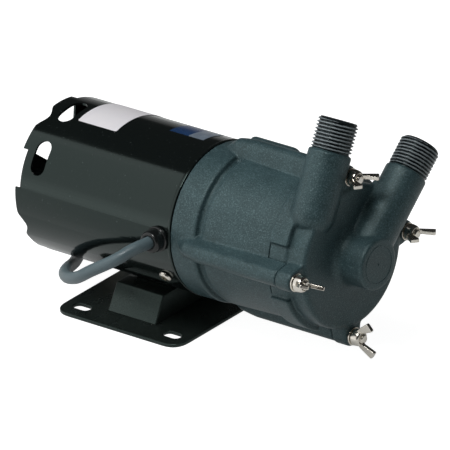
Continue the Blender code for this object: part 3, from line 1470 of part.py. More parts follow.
def plug_frame():
    """Start and heading of the plug, from the end of the tail."""
    end = Vector(TAIL_ROUTE[-1])
    heading = end - Vector(TAIL_ROUTE[-2])
    heading.z = 0.0
    heading.normalize()
    return end + heading * SEAT_GAP, heading


def build_plug():
    """Three-pin plug that lies on the coil, its blades level with the coil's top."""
    start, heading = plug_frame()
    turn = Vector((0.0, 0.0, 1.0)).rotation_difference(heading)
    body = PLUG_NECK_LENGTH + PLUG_LENGTH
    points = [
        (0.0, body),
        (PLUG_RADIUS - 0.0012, body),
        (PLUG_RADIUS, body - 0.0012),
        (PLUG_RADIUS, PLUG_NECK_LENGTH + 0.0080),
        (PLUG_NECK_RADIUS + 0.0020, PLUG_NECK_LENGTH),
        (PLUG_NECK_RADIUS, 0.0010),
        (PLUG_NECK_RADIUS - 0.0010, 0.0),
        (0.0, 0.0),
    ]
    plug = turned("cord_plug", points, PARTS, None, steps=MEDIUM, at=start)
    plug.rotation_euler = turn.to_euler()
    plug.data.materials.append(cord_jacket())
    side = Vector((0.0, 0.0, 1.0)).cross(heading)
    face = start + heading * (body + SEAT_GAP) - Vector((0.0, 0.0, BLADE_DROP))
    basis = Matrix((side, Vector((0.0, 0.0, 1.0)), heading)).transposed()
    blade = box_mesh("plug_blade", (BLADE_THICKNESS, BLADE_WIDTH, BLADE_LENGTH), (0.0, 0.0, BLADE_LENGTH / 2.0))
    for name, sign in (("left", 1.0), ("right", -1.0)):
        at = face + side * (sign * BLADE_SPACING / 2.0)
        item = link_object(f"plug_blade_{name}", blade.copy(), PARTS, None, at, basis.to_euler())
        as_part(item, bright_steel())
    pin = rod_mesh("plug_ground_pin", GROUND_PIN_RADIUS, GROUND_PIN_RADIUS * 0.7, GROUND_PIN_LENGTH, FINE)
    at = face + Vector((0.0, 0.0, GROUND_PIN_OFFSET))
    as_part(link_object("plug_ground_pin", pin, PARTS, None, at, basis.to_euler()), bright_steel())


def shade_round_parts():
    """Screw and Boolean results take their smoothing from an edge-angle rule on each mesh."""
    for item in PARTS.objects:
        item.data.shade_smooth()
        item.data.set_sharp_from_angle(angle=math.radians(35.0))


def main():
    global PARTS, CUTTERS, MACHINE
    clear_scene()
    PARTS = make_collection("magnetic_drive_pump")
    CUTTERS = make_collection("cutters")
    MACHINE = make_machine_empty()
    build_base_plate()
    build_pedestal()
    build_cradle()
    build_cradle_screws()
    build_motor_shell()
    build_stator()
    build_front_bell()
    build_bearings()
    build_shaft()
    build_rotor_core()
    build_fan()
    build_ground_screw()
    build_strain_relief()
    build_bracket()
    build_bracket_screws()
    build_drive_hub()
    build_rear_casing()
    build_spindle()
    build_impeller()
    build_seal()
    build_volute()
    build_studs()
    for key, angle in zip(BOLT_NAMES, BOLT_ANGLES):
        build_wing_nut(f"wing_nut_{key}", angle, WING_BEARINGS[key])
    build_cord()
    build_coil()
    build_plug()
    shade_round_parts()


main()
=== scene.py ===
"""Looks of the magnetic-drive pump: its detailed pieces, finishes, cord, floor, light and camera.

World axes: +X runs from the motor's rear to the pump's face, +Y to the far side, +Z up; metres.
Machine pieces are worked out in the machine's own axes: X at the top bolt, Y at the near-side
bolt, Z along the shaft. Angles round the shaft run from X to Y, in degrees.
"""

import json
import math

import bmesh
import bpy
from mathutils import Matrix, Vector


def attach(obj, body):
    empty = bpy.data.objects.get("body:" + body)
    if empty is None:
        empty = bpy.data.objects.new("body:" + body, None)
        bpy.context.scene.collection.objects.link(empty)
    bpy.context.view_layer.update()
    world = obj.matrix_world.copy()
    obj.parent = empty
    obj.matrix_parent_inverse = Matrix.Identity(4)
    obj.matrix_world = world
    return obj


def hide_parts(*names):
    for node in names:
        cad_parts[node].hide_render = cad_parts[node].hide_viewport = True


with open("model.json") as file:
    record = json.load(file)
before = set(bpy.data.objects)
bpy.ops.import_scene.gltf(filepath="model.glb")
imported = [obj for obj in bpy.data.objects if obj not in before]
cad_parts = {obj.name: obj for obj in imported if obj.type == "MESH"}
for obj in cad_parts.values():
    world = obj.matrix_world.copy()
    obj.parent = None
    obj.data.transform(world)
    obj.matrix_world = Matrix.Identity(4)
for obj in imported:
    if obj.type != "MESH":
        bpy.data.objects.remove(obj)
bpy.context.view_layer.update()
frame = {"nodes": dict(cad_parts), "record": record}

# The photograph's view
FRAME_PIXELS = 450
PIXELS_PER_METRE = 1973.0
VIEW_AZIMUTH = 43.0
VIEW_ELEVATION = 25.6
VIEW_ROLL = -5.3
VIEW_CENTRE = Vector((0.0788, -0.0382, 0.0784))
VIEW_DISTANCE = 5.0
SENSOR_WIDTH = 36.0

# The machine on its foot
AXIS_HEIGHT = 0.0570
HEAD_TURN = 5.1
SEAT_GAP = 0.0003
OVERRUN = 0.004

# Foot
PLATE_LENGTH = 0.0850
PLATE_WIDTH = 0.0880
PLATE_THICKNESS = 0.0020
PLATE_CORNER = 0.0100
PLATE_EDGE = 0.0005
FOOT_SLOT_LENGTH = 0.0110
FOOT_SLOT_WIDTH = 0.0056
FOOT_SLOT_SPACING_X = 0.0620
FOOT_SLOT_SPACING_Y = 0.0680
PEDESTAL_LENGTH = 0.0330
PEDESTAL_WIDTH = 0.0608
PEDESTAL_TAPER = 0.0004
PEDESTAL_LEAN = 0.0082
PEDESTAL_RISE = 0.0021
PEDESTAL_EDGE = 0.0009
CRADLE_THICKNESS = 0.0020
CRADLE_LENGTH = 0.0270
CRADLE_HALF_ANGLE = 17.0

# Motor shell
SHELL_RADIUS = 0.0410
SHELL_WALL = 0.0012
SHELL_REAR = -0.0645
SHELL_LENGTH = 0.1065
SHELL_BEAD_HEIGHT = 0.0005
SHELL_BEAD_LENGTH = 0.0016
END_PLATE_INSET = 0.0020
END_PLATE_CORNER = 0.0026
SPOKE_COUNT = 4
SPOKE_START = 54.5
SPOKE_ANGLE = 29.0
REAR_HUB_RADIUS = 0.0125
RIM_NOTCH_START = 101.5
RIM_NOTCH_ANGLE = 26.0
RIM_NOTCH_DEPTH = 0.0040
VENT_FROM_REAR = 0.0130
VENT_WIDTH = 0.0094
VENT_LENGTH = 0.0188
VENT_ANGLES = (12.7, 57.9, 192.7, 237.9)
BEARING_RADIUS = 0.0080
BEARING_LENGTH = 0.0070

# Label, sticker, ground screw and bushing on the shell
LABEL_REAR = -0.0428
LABEL_FRONT = -0.0164
LABEL_START = -62.0
LABEL_END = 21.0
STICKER_REAR = 0.0090
STICKER_FRONT = 0.0318
STICKER_START = -20.0
STICKER_END = 2.6
STICKER_SPLIT = 0.56
SHEET_THICKNESS = 0.00012
GROUND_SCREW_X = 0.0320
GROUND_SCREW_ANGLE = 125.0
GROUND_SCREW_HEAD_RADIUS = 0.0036
GROUND_SCREW_HEAD_HEIGHT = 0.0016
RELIEF_X = 0.0340
RELIEF_ANGLE = 90.0
RELIEF_OUTSIDE = 0.0075
RELIEF_INSIDE = 0.0045
RELIEF_RADIUS = 0.0068
RELIEF_TIP_RADIUS = 0.0058
RELIEF_NECK_RADIUS = 0.0048
RELIEF_CORD_DEPTH = 0.0040

# Bracket
RING_RADIUS = 0.0412
RING_LENGTH = 0.0163
GROOVE_LENGTH = 0.0044
GROOVE_DEPTH = 0.0022
BRACKET_LENGTH = 0.0637
BRACKET_REAR_RADIUS = 0.0404
BRACKET_FRONT_RADIUS = 0.0390
BRACKET_BORE = 0.0345
BRACKET_WEB = 0.0042
BRACKET_SHAFT_HOLE = 0.0120
BOLT_CIRCLE = 0.0436
BOLT_BOSS_RADIUS = 0.0051
BOLT_BOSS_FLARE = 0.0021
BOLT_BOSS_ROOT = 0.0040
BOLT_BOSS_SETBACK = 0.0047
BOLT_RAMP_LENGTH = 0.0190
BOLT_RAMP = (
    (0.0, -0.0064, 0.59),
    (0.16, -0.0036, 0.69),
    (0.42, -0.0011, 0.92),
    (0.79, -0.0003, 0.98),
    (1.0, 0.0, 1.0),
)
LUG_RADIUS = 0.0058
LUG_CIRCLE = 0.0400
LUG_ANGLE = -38.0
LUG_LENGTH = 0.0255

# Volute
VOLUTE_RADIUS = 0.0382
VOLUTE_EDGE = 0.0030
COLLAR_RADIUS = 0.0415
SKIRT_RADIUS = 0.0393
COLLAR_LENGTH = 0.0124
COLLAR_TAB_ANGLE = 47.0
FACE_FROM_PARTING = 0.0237
EAR_BELOW_FACE = 0.0012
EAR_RADIUS = 0.0056
EAR_ROOT = 0.0040
CHAMBER_RADIUS = 0.0325
CHAMBER_FROM_PARTING = 0.0155
INLET_BOSS_RADIUS = 0.0138
INLET_BOSS_HEIGHT = 0.0170
INLET_BOSS_FILLET = 0.0050
GATE_RING_RADIUS = 0.0100
GATE_RING_SIZE = 0.00022
INLET_ANGLE = -45.5
INLET_ABOVE_FACE = 0.0055
INLET_EYE_RADIUS = 0.0095
EYE_OVERLAP = 0.001
INLET_REACH = 0.0680
INLET_FAIRING_REACH = 0.0400
DISCHARGE_LEAN = -26.0
DISCHARGE_OFFSET = 0.0316
DISCHARGE_FROM_PARTING = 0.0160
DISCHARGE_REACH = 0.0656
DISCHARGE_ROOT = 0.0068
DISCHARGE_DOME = 0.0095
DISCHARGE_BORE_START = 0.0110
TUBE_RADIUS = 0.0112
TUBE_BORE = 0.0078
THREAD_LENGTH = 0.0170
THREAD_PITCH = 0.001814
THREAD_ROOT = 0.00950
THREAD_CREST = 0.01068

# Studs, washers and wing nuts
BOLT_NAMES = "nwse"
STUD_RADIUS = 0.0024
STUD_PITCH = 0.0008
STUD_BURIED = 0.0240
STUD_PROUD = 0.0014
WASHER_RADIUS = 0.0048
WASHER_THICKNESS = 0.0008
WING_HUB_RADIUS = 0.0045
WING_HUB_TIP_RADIUS = 0.0039
WING_HUB_HEIGHT = 0.0049
WING_SPAN = 0.0205
WING_LEAN = 54.0
WING_WIDTH = 0.0050
WING_THICKNESS = 0.0018
WING_BEARINGS = {"n": 92.0, "w": 70.0, "s": 8.0, "e": 89.0}

# Cord: the route's own points, then its coil, its tail and its plug
CORD_DIAMETER = 0.0065
CORD_ROUTE = (
    (0.0322, -0.0590, 0.0612),
    (0.0270, -0.0672, 0.0575),
    (0.0147, -0.0720, 0.0506),
    (0.0020, -0.0695, 0.0425),
    (-0.0130, -0.0610, 0.0350),
    (-0.0275, -0.0480, 0.0283),
    (-0.0420, -0.0305, 0.0200),
    (-0.0548, -0.0118, 0.0122),
    (-0.0690, 0.0080, 0.0062),
    (-0.0815, 0.0270, 0.0038),
    (-0.0895, 0.0460, 0.0036),
    (-0.0917, 0.0640, 0.0036),
    (-0.0922, 0.0760, 0.0036),
)
COIL_CENTRE = Vector((-0.0410, 0.0930, 0.0))
COIL_MEAN_RADIUS = 0.0380
COIL_ARRIVAL_RADIUS = 0.0513
COIL_TURNS = 5.50
COIL_STEPS = 48
TAIL_ROUTE = (
    (0.0020, 0.0970, 0.0169),
    (0.0008, 0.0872, 0.0174),
    (-0.0027, 0.0780, 0.0190),
    (-0.0083, 0.0701, 0.0212),
    (-0.0155, 0.0641, 0.0234),
    (-0.0239, 0.0603, 0.0250),
    (-0.0330, 0.0590, 0.0256),
    (-0.0360, 0.0590, 0.0256),
)
ROUTE_POINTS_PER_SPAN = 6
PLUG_LENGTH = 0.0300
PLUG_RADIUS = 0.0120
PLUG_NECK_LENGTH = 0.0100
PLUG_NECK_RADIUS = 0.0052
BLADE_LENGTH = 0.0165
BLADE_WIDTH = 0.0064
BLADE_THICKNESS = 0.0015
BLADE_SPACING = 0.0127
BLADE_DROP = 0.0020
BLADE_HOLE_RADIUS = 0.0015
BLADE_HOLE_REACH = 0.006
BLADE_HOLE_FROM_TIP = 0.0038
GROUND_PIN_RADIUS = 0.0023
GROUND_PIN_LENGTH = 0.0180
GROUND_PIN_OFFSET = 0.0078

# Fineness of the pieces
MERGE = 0.00001
SHELL_STEPS = 160
TURNED_STEPS = 96
SMALL_STEPS = 48
ARC_POINTS = 6
MOULD_VOXEL = 0.00060
NUT_VOXEL = 0.00018

# Stations along the shaft
SHELL_FRONT = SHELL_REAR + SHELL_LENGTH
END_PLATE_REAR = SHELL_REAR + END_PLATE_INSET
END_PLATE_FRONT = END_PLATE_REAR + SHELL_WALL
SHELL_BORE = SHELL_RADIUS - SHELL_WALL
BRACKET_REAR = SHELL_FRONT + SEAT_GAP
RING_FRONT = BRACKET_REAR + RING_LENGTH
PANEL_REAR = RING_FRONT + GROOVE_LENGTH
PARTING = BRACKET_REAR + BRACKET_LENGTH
COLLAR_REAR = PARTING + SEAT_GAP
COLLAR_FRONT = COLLAR_REAR + COLLAR_LENGTH
FACE = PARTING + FACE_FROM_PARTING
EAR_FRONT = FACE - EAR_BELOW_FACE
BOSS_FRONT = FACE + INLET_BOSS_HEIGHT
INLET_X = FACE + INLET_ABOVE_FACE
DISCHARGE_X = PARTING + DISCHARGE_FROM_PARTING
CHAMBER_FRONT = PARTING + CHAMBER_FROM_PARTING
NUT_SEAT = EAR_FRONT + SEAT_GAP + WASHER_THICKNESS + SEAT_GAP
NUT_FRONT = NUT_SEAT + WING_HUB_HEIGHT
BOLT_ANGLES = (0.0, 90.0, 180.0, 270.0)


def axes_at(origin, x, y, z):
    """Frame with its origin at a point and its local axes along three unit vectors."""
    return Matrix.Translation(origin) @ Matrix((x, y, z)).transposed().to_4x4()


def machine_axes():
    turn = math.radians(HEAD_TURN)
    top = Vector((0.0, math.sin(turn), math.cos(turn)))
    shaft = Vector((1.0, 0.0, 0.0))
    return axes_at((0.0, 0.0, AXIS_HEIGHT), top, shaft.cross(top), shaft)


MACHINE = machine_axes()


def polar(radius, angle, station=0.0):
    turn = math.radians(angle)
    return Vector((radius * math.cos(turn), radius * math.sin(turn), station))


# Finishes


class Wire:
    """One socket of a finish in the making; arithmetic on it adds Math nodes."""

    def __init__(self, finish, socket):
        self.finish = finish
        self.socket = socket

    def reckon(self, operation, first, second):
        sockets = {0: first, 1: second}
        return self.finish.node("ShaderNodeMath", {"operation": operation}, sockets)

    def __add__(self, other):
        return self.reckon("ADD", self, other)

    def __radd__(self, other):
        return self.reckon("ADD", other, self)

    def __sub__(self, other):
        return self.reckon("SUBTRACT", self, other)

    def __rsub__(self, other):
        return self.reckon("SUBTRACT", other, self)

    def __mul__(self, other):
        return self.reckon("MULTIPLY", self, other)

    def __rmul__(self, other):
        return self.reckon("MULTIPLY", other, self)


class Finish:
    """A material in the making: its Principled shader, and one method that adds any other node."""

    def __init__(self, name, **fixed):
        self.material = bpy.data.materials.new(name)
        self.material.use_nodes = True
        self.tree = self.material.node_tree
        self.shader = self.tree.nodes["Principled BSDF"]
        for label, value in fixed.items():
            self.shader.inputs[label.replace("_", " ")].default_value = value

    def feed(self, socket, value):
        if isinstance(value, Wire):
            self.tree.links.new(value.socket, socket)
        else:
            socket.default_value = value

    def node(self, kind, settings=None, sockets=None, out=0):
        """Adds a node: its settings first, ramp stops among them, then its sockets' values and links."""
        made = self.tree.nodes.new(kind)
        for label, value in (settings or {}).items():
            if label == "stops":
                set_stops(made.color_ramp, value)
            else:
                setattr(made, label, value)
        for label, value in (sockets or {}).items():
            self.feed(made.inputs[label], value)
        return Wire(self, made.outputs[out])

    def surface(self, label, value):
        self.feed(self.shader.inputs[label], value)

    def place(self):
        return self.node("ShaderNodeTexCoord", out="Object")

    def noise(self, scale, detail=3.0, roughness=0.5, where=None):
        where = where or self.place()
        sockets = {"Vector": where, "Scale": scale, "Detail": detail, "Roughness": roughness}
        return self.node("ShaderNodeTexNoise", None, sockets)

    def shift(self, wire, low, high, new_low, new_high):
        """Carries a value from one range to another, and holds it there."""
        sockets = {"Value": wire, "From Min": low, "From Max": high, "To Min": new_low, "To Max": new_high}
        return self.node("ShaderNodeMapRange", {"clamp": True}, sockets)

    def blend(self, share, first, second):
        """Colour between two colours."""
        colours = [value if isinstance(value, Wire) else (*value, 1.0) for value in (first, second)]
        sockets = {0: share, 6: colours[0], 7: colours[1]}
        return self.node("ShaderNodeMix", {"data_type": "RGBA"}, sockets, out=2)

    def relief(self, height, strength, depth, under=None):
        sockets = {"Strength": strength, "Distance": depth, "Height": height}
        if under is not None:
            sockets["Normal"] = under
        return self.node("ShaderNodeBump", None, sockets)


def set_stops(ramp, stops):
    while len(ramp.elements) < len(stops):
        ramp.elements.new(1.0)
    for element, (position, colour) in zip(ramp.elements, stops):
        element.position = position
        element.color = (*colour, 1.0)


ENAMEL_TINT = (0.74, 1.0, 0.93, 1.0)
MOULD_TINT = (0.80, 1.0, 0.99, 1.0)


def black_enamel():
    """Baked gloss black: deep, slightly wavy, with a few pale dust specks."""
    finish = Finish("black_enamel", IOR=1.5, Specular_Tint=ENAMEL_TINT)
    dust = finish.shift(finish.noise(820.0, 2.0), 0.70, 0.76, 0.0, 0.30)
    haze = finish.noise(40.0, 3.0)
    finish.surface("Base Color", finish.blend(dust, (0.0045, 0.0062, 0.0060), (0.14, 0.17, 0.17)))
    finish.surface("Roughness", finish.shift(haze, 0.3, 0.7, 0.085, 0.135) + dust * 0.4)
    wave = finish.relief(finish.noise(1300.0, 3.0, 0.6), 0.10, 0.00008)
    finish.surface("Normal", finish.relief(dust, 0.5, 0.00006, wave))
    return finish.material


def satin_enamel():
    """The same black on the foot, sprayed thinner: half matt, with a fine pebbled grain."""
    finish = Finish("satin_enamel", IOR=1.5, Specular_Tint=ENAMEL_TINT)
    grain = finish.noise(1700.0, 3.0, 0.7)
    haze = finish.noise(60.0, 3.0)
    peaks = finish.shift(grain, 0.4, 0.75, 0.0, 1.0)
    finish.surface("Base Color", finish.blend(peaks, (0.006, 0.009, 0.008), (0.030, 0.038, 0.035)))
    finish.surface("Roughness", finish.shift(haze, 0.3, 0.7, 0.24, 0.34))
    finish.surface("Normal", finish.relief(grain, 0.30, 0.00010))
    return finish.material


def moulded_plastic():
    """Glass-filled slate-black moulding: satin, faintly mottled, with a salt-and-pepper grain."""
    finish = Finish("moulded_plastic", IOR=1.5, Specular_Tint=MOULD_TINT)
    mottle = finish.noise(60.0, 5.0, 0.6)
    speck = finish.noise(1350.0, 4.0, 0.75)
    cloud = finish.shift(mottle, 0.3, 0.7, 0.0, 1.0)
    shade = finish.blend(cloud, (0.024, 0.046, 0.051), (0.038, 0.072, 0.079))
    deep = finish.shift(speck, 0.30, 0.48, 0.65, 0.0)
    worn = finish.shift(speck, 0.52, 0.74, 0.0, 0.75)
    dark = finish.blend(deep, shade, (0.006, 0.010, 0.011))
    finish.surface("Base Color", finish.blend(worn, dark, (0.16, 0.24, 0.26)))
    finish.surface("Roughness", finish.shift(mottle, 0.3, 0.7, 0.31, 0.42))
    grain = finish.relief(finish.noise(1700.0, 4.0, 0.8), 0.90, 0.00016)
    finish.surface("Normal", finish.relief(mottle, 0.15, 0.0006, grain))
    return finish.material


def lamination_steel():
    """Edges of stacked sheets, varnished."""
    finish = Finish("lamination_steel", Metallic=0.8)
    sheets = finish.node(
        "ShaderNodeTexWave",
        {"wave_type": "BANDS", "bands_direction": "X"},
        {"Vector": finish.place(), "Scale": 520.0, "Distortion": 0.3},
    )
    finish.surface("Base Color", finish.blend(sheets, (0.07, 0.07, 0.075), (0.20, 0.20, 0.21)))
    finish.surface("Roughness", finish.shift(sheets, 0.0, 1.0, 0.55, 0.38))
    finish.surface("Normal", finish.relief(sheets, 0.6, 0.0001))
    return finish.material


def copper_winding():
    """Varnished wire, wound round the shaft's axis."""
    finish = Finish("copper_winding", Metallic=0.6)
    move = {"Vector": finish.place(), "Location": (0.0, 0.0, -AXIS_HEIGHT)}
    centred = finish.node("ShaderNodeMapping", None, move)
    turns = finish.node(
        "ShaderNodeTexWave",
        {"wave_type": "RINGS", "rings_direction": "X"},
        {"Vector": centred, "Scale": 330.0, "Distortion": 1.5, "Detail": 2.0},
    )
    finish.surface("Base Color", finish.blend(turns, (0.10, 0.030, 0.012), (0.46, 0.17, 0.06)))
    finish.surface("Roughness", finish.shift(turns, 0.0, 1.0, 0.45, 0.28))
    finish.surface("Normal", finish.relief(turns, 0.8, 0.0003))
    return finish.material


def mottled(name, spread, colours, gloss, grain, relief, **fixed):
    """Finish whose tone and gloss drift together, over a grain of its own or over the same drift."""
    finish = Finish(name, **fixed)
    drift = finish.noise(*spread)
    finish.surface("Base Color", finish.blend(drift, *colours))
    finish.surface("Roughness", finish.shift(drift, 0.3, 0.7, *gloss))
    height = finish.noise(*grain) if grain else drift
    finish.surface("Normal", finish.relief(height, *relief))
    return finish.material


ENAMEL = black_enamel()
SATIN = satin_enamel()
MOULDED = moulded_plastic()
# The moulding where a die left it smooth: black with a clean gloss
THREADED = mottled(
    "thread_plastic",
    (300.0, 3.0),
    ((0.006, 0.009, 0.010), (0.014, 0.019, 0.021)),
    (0.20, 0.30),
    (1800.0,),
    (0.20, 0.00006),
    IOR=1.5,
    Specular_Tint=MOULD_TINT,
)
# Crests of the thread painted pale: a painted highlight in place of the overhead lamp's reflection on them
CREST_HIGHLIGHT = mottled(
    "thread_crest_highlight",
    (700.0, 3.0),
    ((0.15, 0.18, 0.19), (0.30, 0.34, 0.36)),
    (0.22, 0.34),
    (1800.0,),
    (0.20, 0.00006),
    IOR=1.5,
)
# Snap bushing and fan: dense black with a soft gloss
BLACK = mottled(
    "black_plastic",
    (180.0, 3.0),
    ((0.005, 0.006, 0.006), (0.011, 0.013, 0.013)),
    (0.12, 0.20),
    (900.0,),
    (0.10, 0.00006),
    IOR=1.5,
)
# Cast and tumbled stainless steel: bright and warm, with soft dents
BRIGHT = mottled(
    "bright_steel",
    (260.0, 4.0),
    ((0.74, 0.69, 0.60), (0.86, 0.83, 0.77)),
    (0.13, 0.27),
    (520.0, 3.0),
    (0.22, 0.00012),
    Metallic=1.0,
)
GROUND = mottled(
    "ground_steel",
    (900.0, 3.0),
    ((0.42, 0.42, 0.42), (0.56, 0.56, 0.55)),
    (0.28, 0.42),
    None,
    (0.20, 0.00005),
    Metallic=1.0,
)
LAMINATED = lamination_steel()
COPPER = copper_winding()
FERRITE = mottled(
    "ferrite",
    (1400.0, 4.0),
    ((0.045, 0.045, 0.05), (0.085, 0.085, 0.09)),
    (0.55, 0.75),
    None,
    (0.3, 0.00008),
)
CERAMIC = mottled(
    "ceramic",
    (200.0, 3.0),
    ((0.72, 0.69, 0.62), (0.80, 0.78, 0.72)),
    (0.10, 0.20),
    None,
    (0.05, 0.00005),
    IOR=1.7,
)
RUBBER = mottled(
    "seal_rubber",
    (500.0, 3.0),
    ((0.014, 0.014, 0.014), (0.030, 0.030, 0.030)),
    (0.55, 0.75),
    None,
    (0.2, 0.00005),
)
# Smooth slate-grey jacket with a soft sheen and the faint waves of its extrusion
JACKET = mottled(
    "cord_jacket",
    (90.0, 3.0),
    ((0.075, 0.112, 0.125), (0.115, 0.160, 0.175)),
    (0.36, 0.46),
    (420.0, 2.0),
    (0.10, 0.0002),
    IOR=1.5,
)
# Bare nameplate stock: off-white with a faint lavender cast
PAPER = mottled(
    "label_paper",
    (70.0, 3.0),
    ((0.70, 0.69, 0.74), (0.78, 0.76, 0.77)),
    (0.34, 0.42),
    (600.0,),
    (0.05, 0.00005),
    IOR=1.45,
)
# Two glossy films, each in one plain colour with a little mottling
BLUE_FILM, SILVER_FILM = (
    mottled(name, (240.0, 3.0), colours, (0.16, 0.26), (380.0,), (0.12, 0.0001), IOR=1.5)
    for name, colours in (
        ("blue_film", ((0.008, 0.028, 0.085), (0.016, 0.048, 0.13))),
        ("silver_film", ((0.10, 0.13, 0.17), (0.20, 0.24, 0.29))),
    )
)
SLOT_FINISHES = {
    "black_enamel": ENAMEL,
    "moulded_plastic": MOULDED,
    "black_plastic": BLACK,
    "bright_steel": BRIGHT,
    "ground_steel": GROUND,
    "lamination_steel": LAMINATED,
    "copper_winding": COPPER,
    "ferrite": FERRITE,
    "ceramic": CERAMIC,
    "seal_rubber": RUBBER,
    "cord_jacket": JACKET,
}


def finish_frame_nodes():
    """Every CAD node takes the finish of its material slot; those that stay in view show it."""
    for part in frame["record"]["subparts"]:
        item = frame["nodes"][part["node"]]
        item.data.materials.clear()
        item.data.materials.append(SLOT_FINISHES[part["material_slot"]])


# Mesh tools


def soften(corners, points=ARC_POINTS, closed=True):
    """Outline whose corners (x, y, cut) are rounded, each over its cut length."""
    made = []
    count = len(corners)
    for index, (x, y, size) in enumerate(corners):
        here = Vector((x, y))
        at_end = not closed and index in (0, count - 1)
        if size <= 0.0 or at_end:
            made.append((x, y))
            continue
        before = Vector(corners[index - 1][:2]) - here
        after = Vector(corners[(index + 1) % count][:2]) - here
        start = here + before.normalized() * min(size, before.length * 0.5)
        end = here + after.normalized() * min(size, after.length * 0.5)
        for step in range(points):
            t = step / (points - 1)
            spot = start * (1.0 - t) ** 2 + here * (2.0 * t * (1.0 - t)) + end * t**2
            made.append((spot.x, spot.y))
    return made


def lathe(profile, steps=TURNED_STEPS, closed=False, start=0.0, sweep=360.0):
    """Turns a profile of (radius, station) about local Z; a part turn gets its ends capped."""
    bm = bmesh.new()
    verts = [bm.verts.new((radius, 0.0, station)) for radius, station in profile]
    pairs = list(zip(verts, verts[1:]))
    if closed:
        pairs.append((verts[-1], verts[0]))
    edges = [bm.edges.new(pair) for pair in pairs]
    first_turn = Matrix.Rotation(math.radians(start), 3, "Z")
    bmesh.ops.rotate(bm, verts=verts, cent=(0.0, 0.0, 0.0), matrix=first_turn)
    whole = sweep >= 360.0
    bmesh.ops.spin(
        bm,
        geom=verts + edges,
        cent=(0.0, 0.0, 0.0),
        axis=(0.0, 0.0, 1.0),
        dvec=(0.0, 0.0, 0.0),
        angle=math.radians(sweep),
        steps=steps,
        use_merge=whole,
    )
    bmesh.ops.remove_doubles(bm, verts=bm.verts, dist=MERGE)
    if not whole:
        open_edges = [edge for edge in bm.edges if edge.is_boundary]
        bmesh.ops.holes_fill(bm, edges=open_edges, sides=0)
    bmesh.ops.recalc_face_normals(bm, faces=bm.faces)
    return bm


def rod(radius, tip_radius, length, steps=SMALL_STEPS):
    return lathe([(0.0, 0.0), (radius, 0.0), (tip_radius, length), (0.0, length)], steps)


def slab(outline, thickness):
    """Flat outline in local XY, given a thickness about Z = 0."""
    bm = bmesh.new()
    face = bm.faces.new([bm.verts.new((x, y, -thickness / 2.0)) for x, y in outline])
    made = bmesh.ops.extrude_face_region(bm, geom=[face])
    lifted = [part for part in made["geom"] if isinstance(part, bmesh.types.BMVert)]
    bmesh.ops.translate(bm, verts=lifted, vec=(0.0, 0.0, thickness))
    bmesh.ops.recalc_face_normals(bm, faces=bm.faces)
    return bm


def block(size):
    bm = bmesh.new()
    bmesh.ops.create_cube(bm, size=1.0)
    bmesh.ops.scale(bm, vec=size, verts=bm.verts)
    return bm


def put(bm, *matrices):
    """Moves a mesh by the product of some matrices, and hands it back."""
    for matrix in reversed(matrices):
        bm.transform(matrix)
    return bm


def shift_to(x, y, z):
    return Matrix.Translation((x, y, z))


def turn_y(angle):
    return Matrix.Rotation(math.radians(angle), 4, "Y")


def turn_z(angle):
    return Matrix.Rotation(math.radians(angle), 4, "Z")


def add_object(name, data):
    item = bpy.data.objects.new(name, data)
    bpy.context.scene.collection.objects.link(item)
    return item


def radial_frame(radius, angle, station):
    """Local Z along the radius at an angle, local X along the shaft."""
    outward = polar(1.0, angle)
    along = Vector((0.0, 0.0, 1.0))
    return axes_at(polar(radius, angle, station), along, outward.cross(along), outward)


def tube_frame(angle, offset, station):
    """Local Z along a tube that lies across the shaft, from the tube's own foot."""
    along = polar(1.0, angle)
    side = polar(1.0, angle + 90.0)
    turn = Vector((0.0, 0.0, 1.0)).rotation_difference(along).to_matrix().to_4x4()
    return Matrix.Translation(side * offset + Vector((0.0, 0.0, station))) @ turn


def loose(name, *meshes):
    """Object that holds several meshes, in no body yet."""
    whole = bpy.data.meshes.new(name)
    gathered = bmesh.new()
    for bm in meshes:
        bm.to_mesh(whole)
        bm.free()
        gathered.from_mesh(whole)
    gathered.to_mesh(whole)
    gathered.free()
    return add_object(name, whole)


def settle(item):
    """Puts what its modifiers make into the object's own mesh."""
    view = bpy.context.evaluated_depsgraph_get()
    made = bpy.data.meshes.new_from_object(item.evaluated_get(view))
    item.modifiers.clear()
    item.data = made
    return item


def carve(item, *tools, operation="DIFFERENCE"):
    """Takes some closed meshes out of an object, or joins them on."""
    tool = loose("tool", *tools)
    step = item.modifiers.new("carve", "BOOLEAN")
    step.object = tool
    step.solver = "EXACT"
    step.operation = operation
    settle(item)
    bpy.data.objects.remove(tool)
    return item


def mould(item, voxel, passes):
    """One skin over overlapping solids, with edges and inside corners eased by a few passes."""
    skin = item.modifiers.new("skin", "REMESH")
    skin.mode = "VOXEL"
    skin.voxel_size = voxel
    ease = item.modifiers.new("ease", "SMOOTH")
    ease.factor = 0.5
    ease.iterations = passes
    return settle(item)


def bevel_edges(item, width, segments=2, angle=40.0):
    step = item.modifiers.new("edges", "BEVEL")
    step.width = width
    step.segments = segments
    step.limit_method = "ANGLE"
    step.angle_limit = math.radians(angle)
    return settle(item)


def dress(item, material, body="pump_body", stands_for=(), place=MACHINE, crease=35.0):
    """Places a piece in the world, shades and finishes it, and lets it ride on its body."""
    item.data.transform(place)
    item.data.materials.clear()
    item.data.materials.append(material)
    item.data.shade_smooth()
    item.data.set_sharp_from_angle(angle=math.radians(crease))
    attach(item, body)
    if stands_for:
        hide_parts(*stands_for)
    return item


# Camera, floor and light


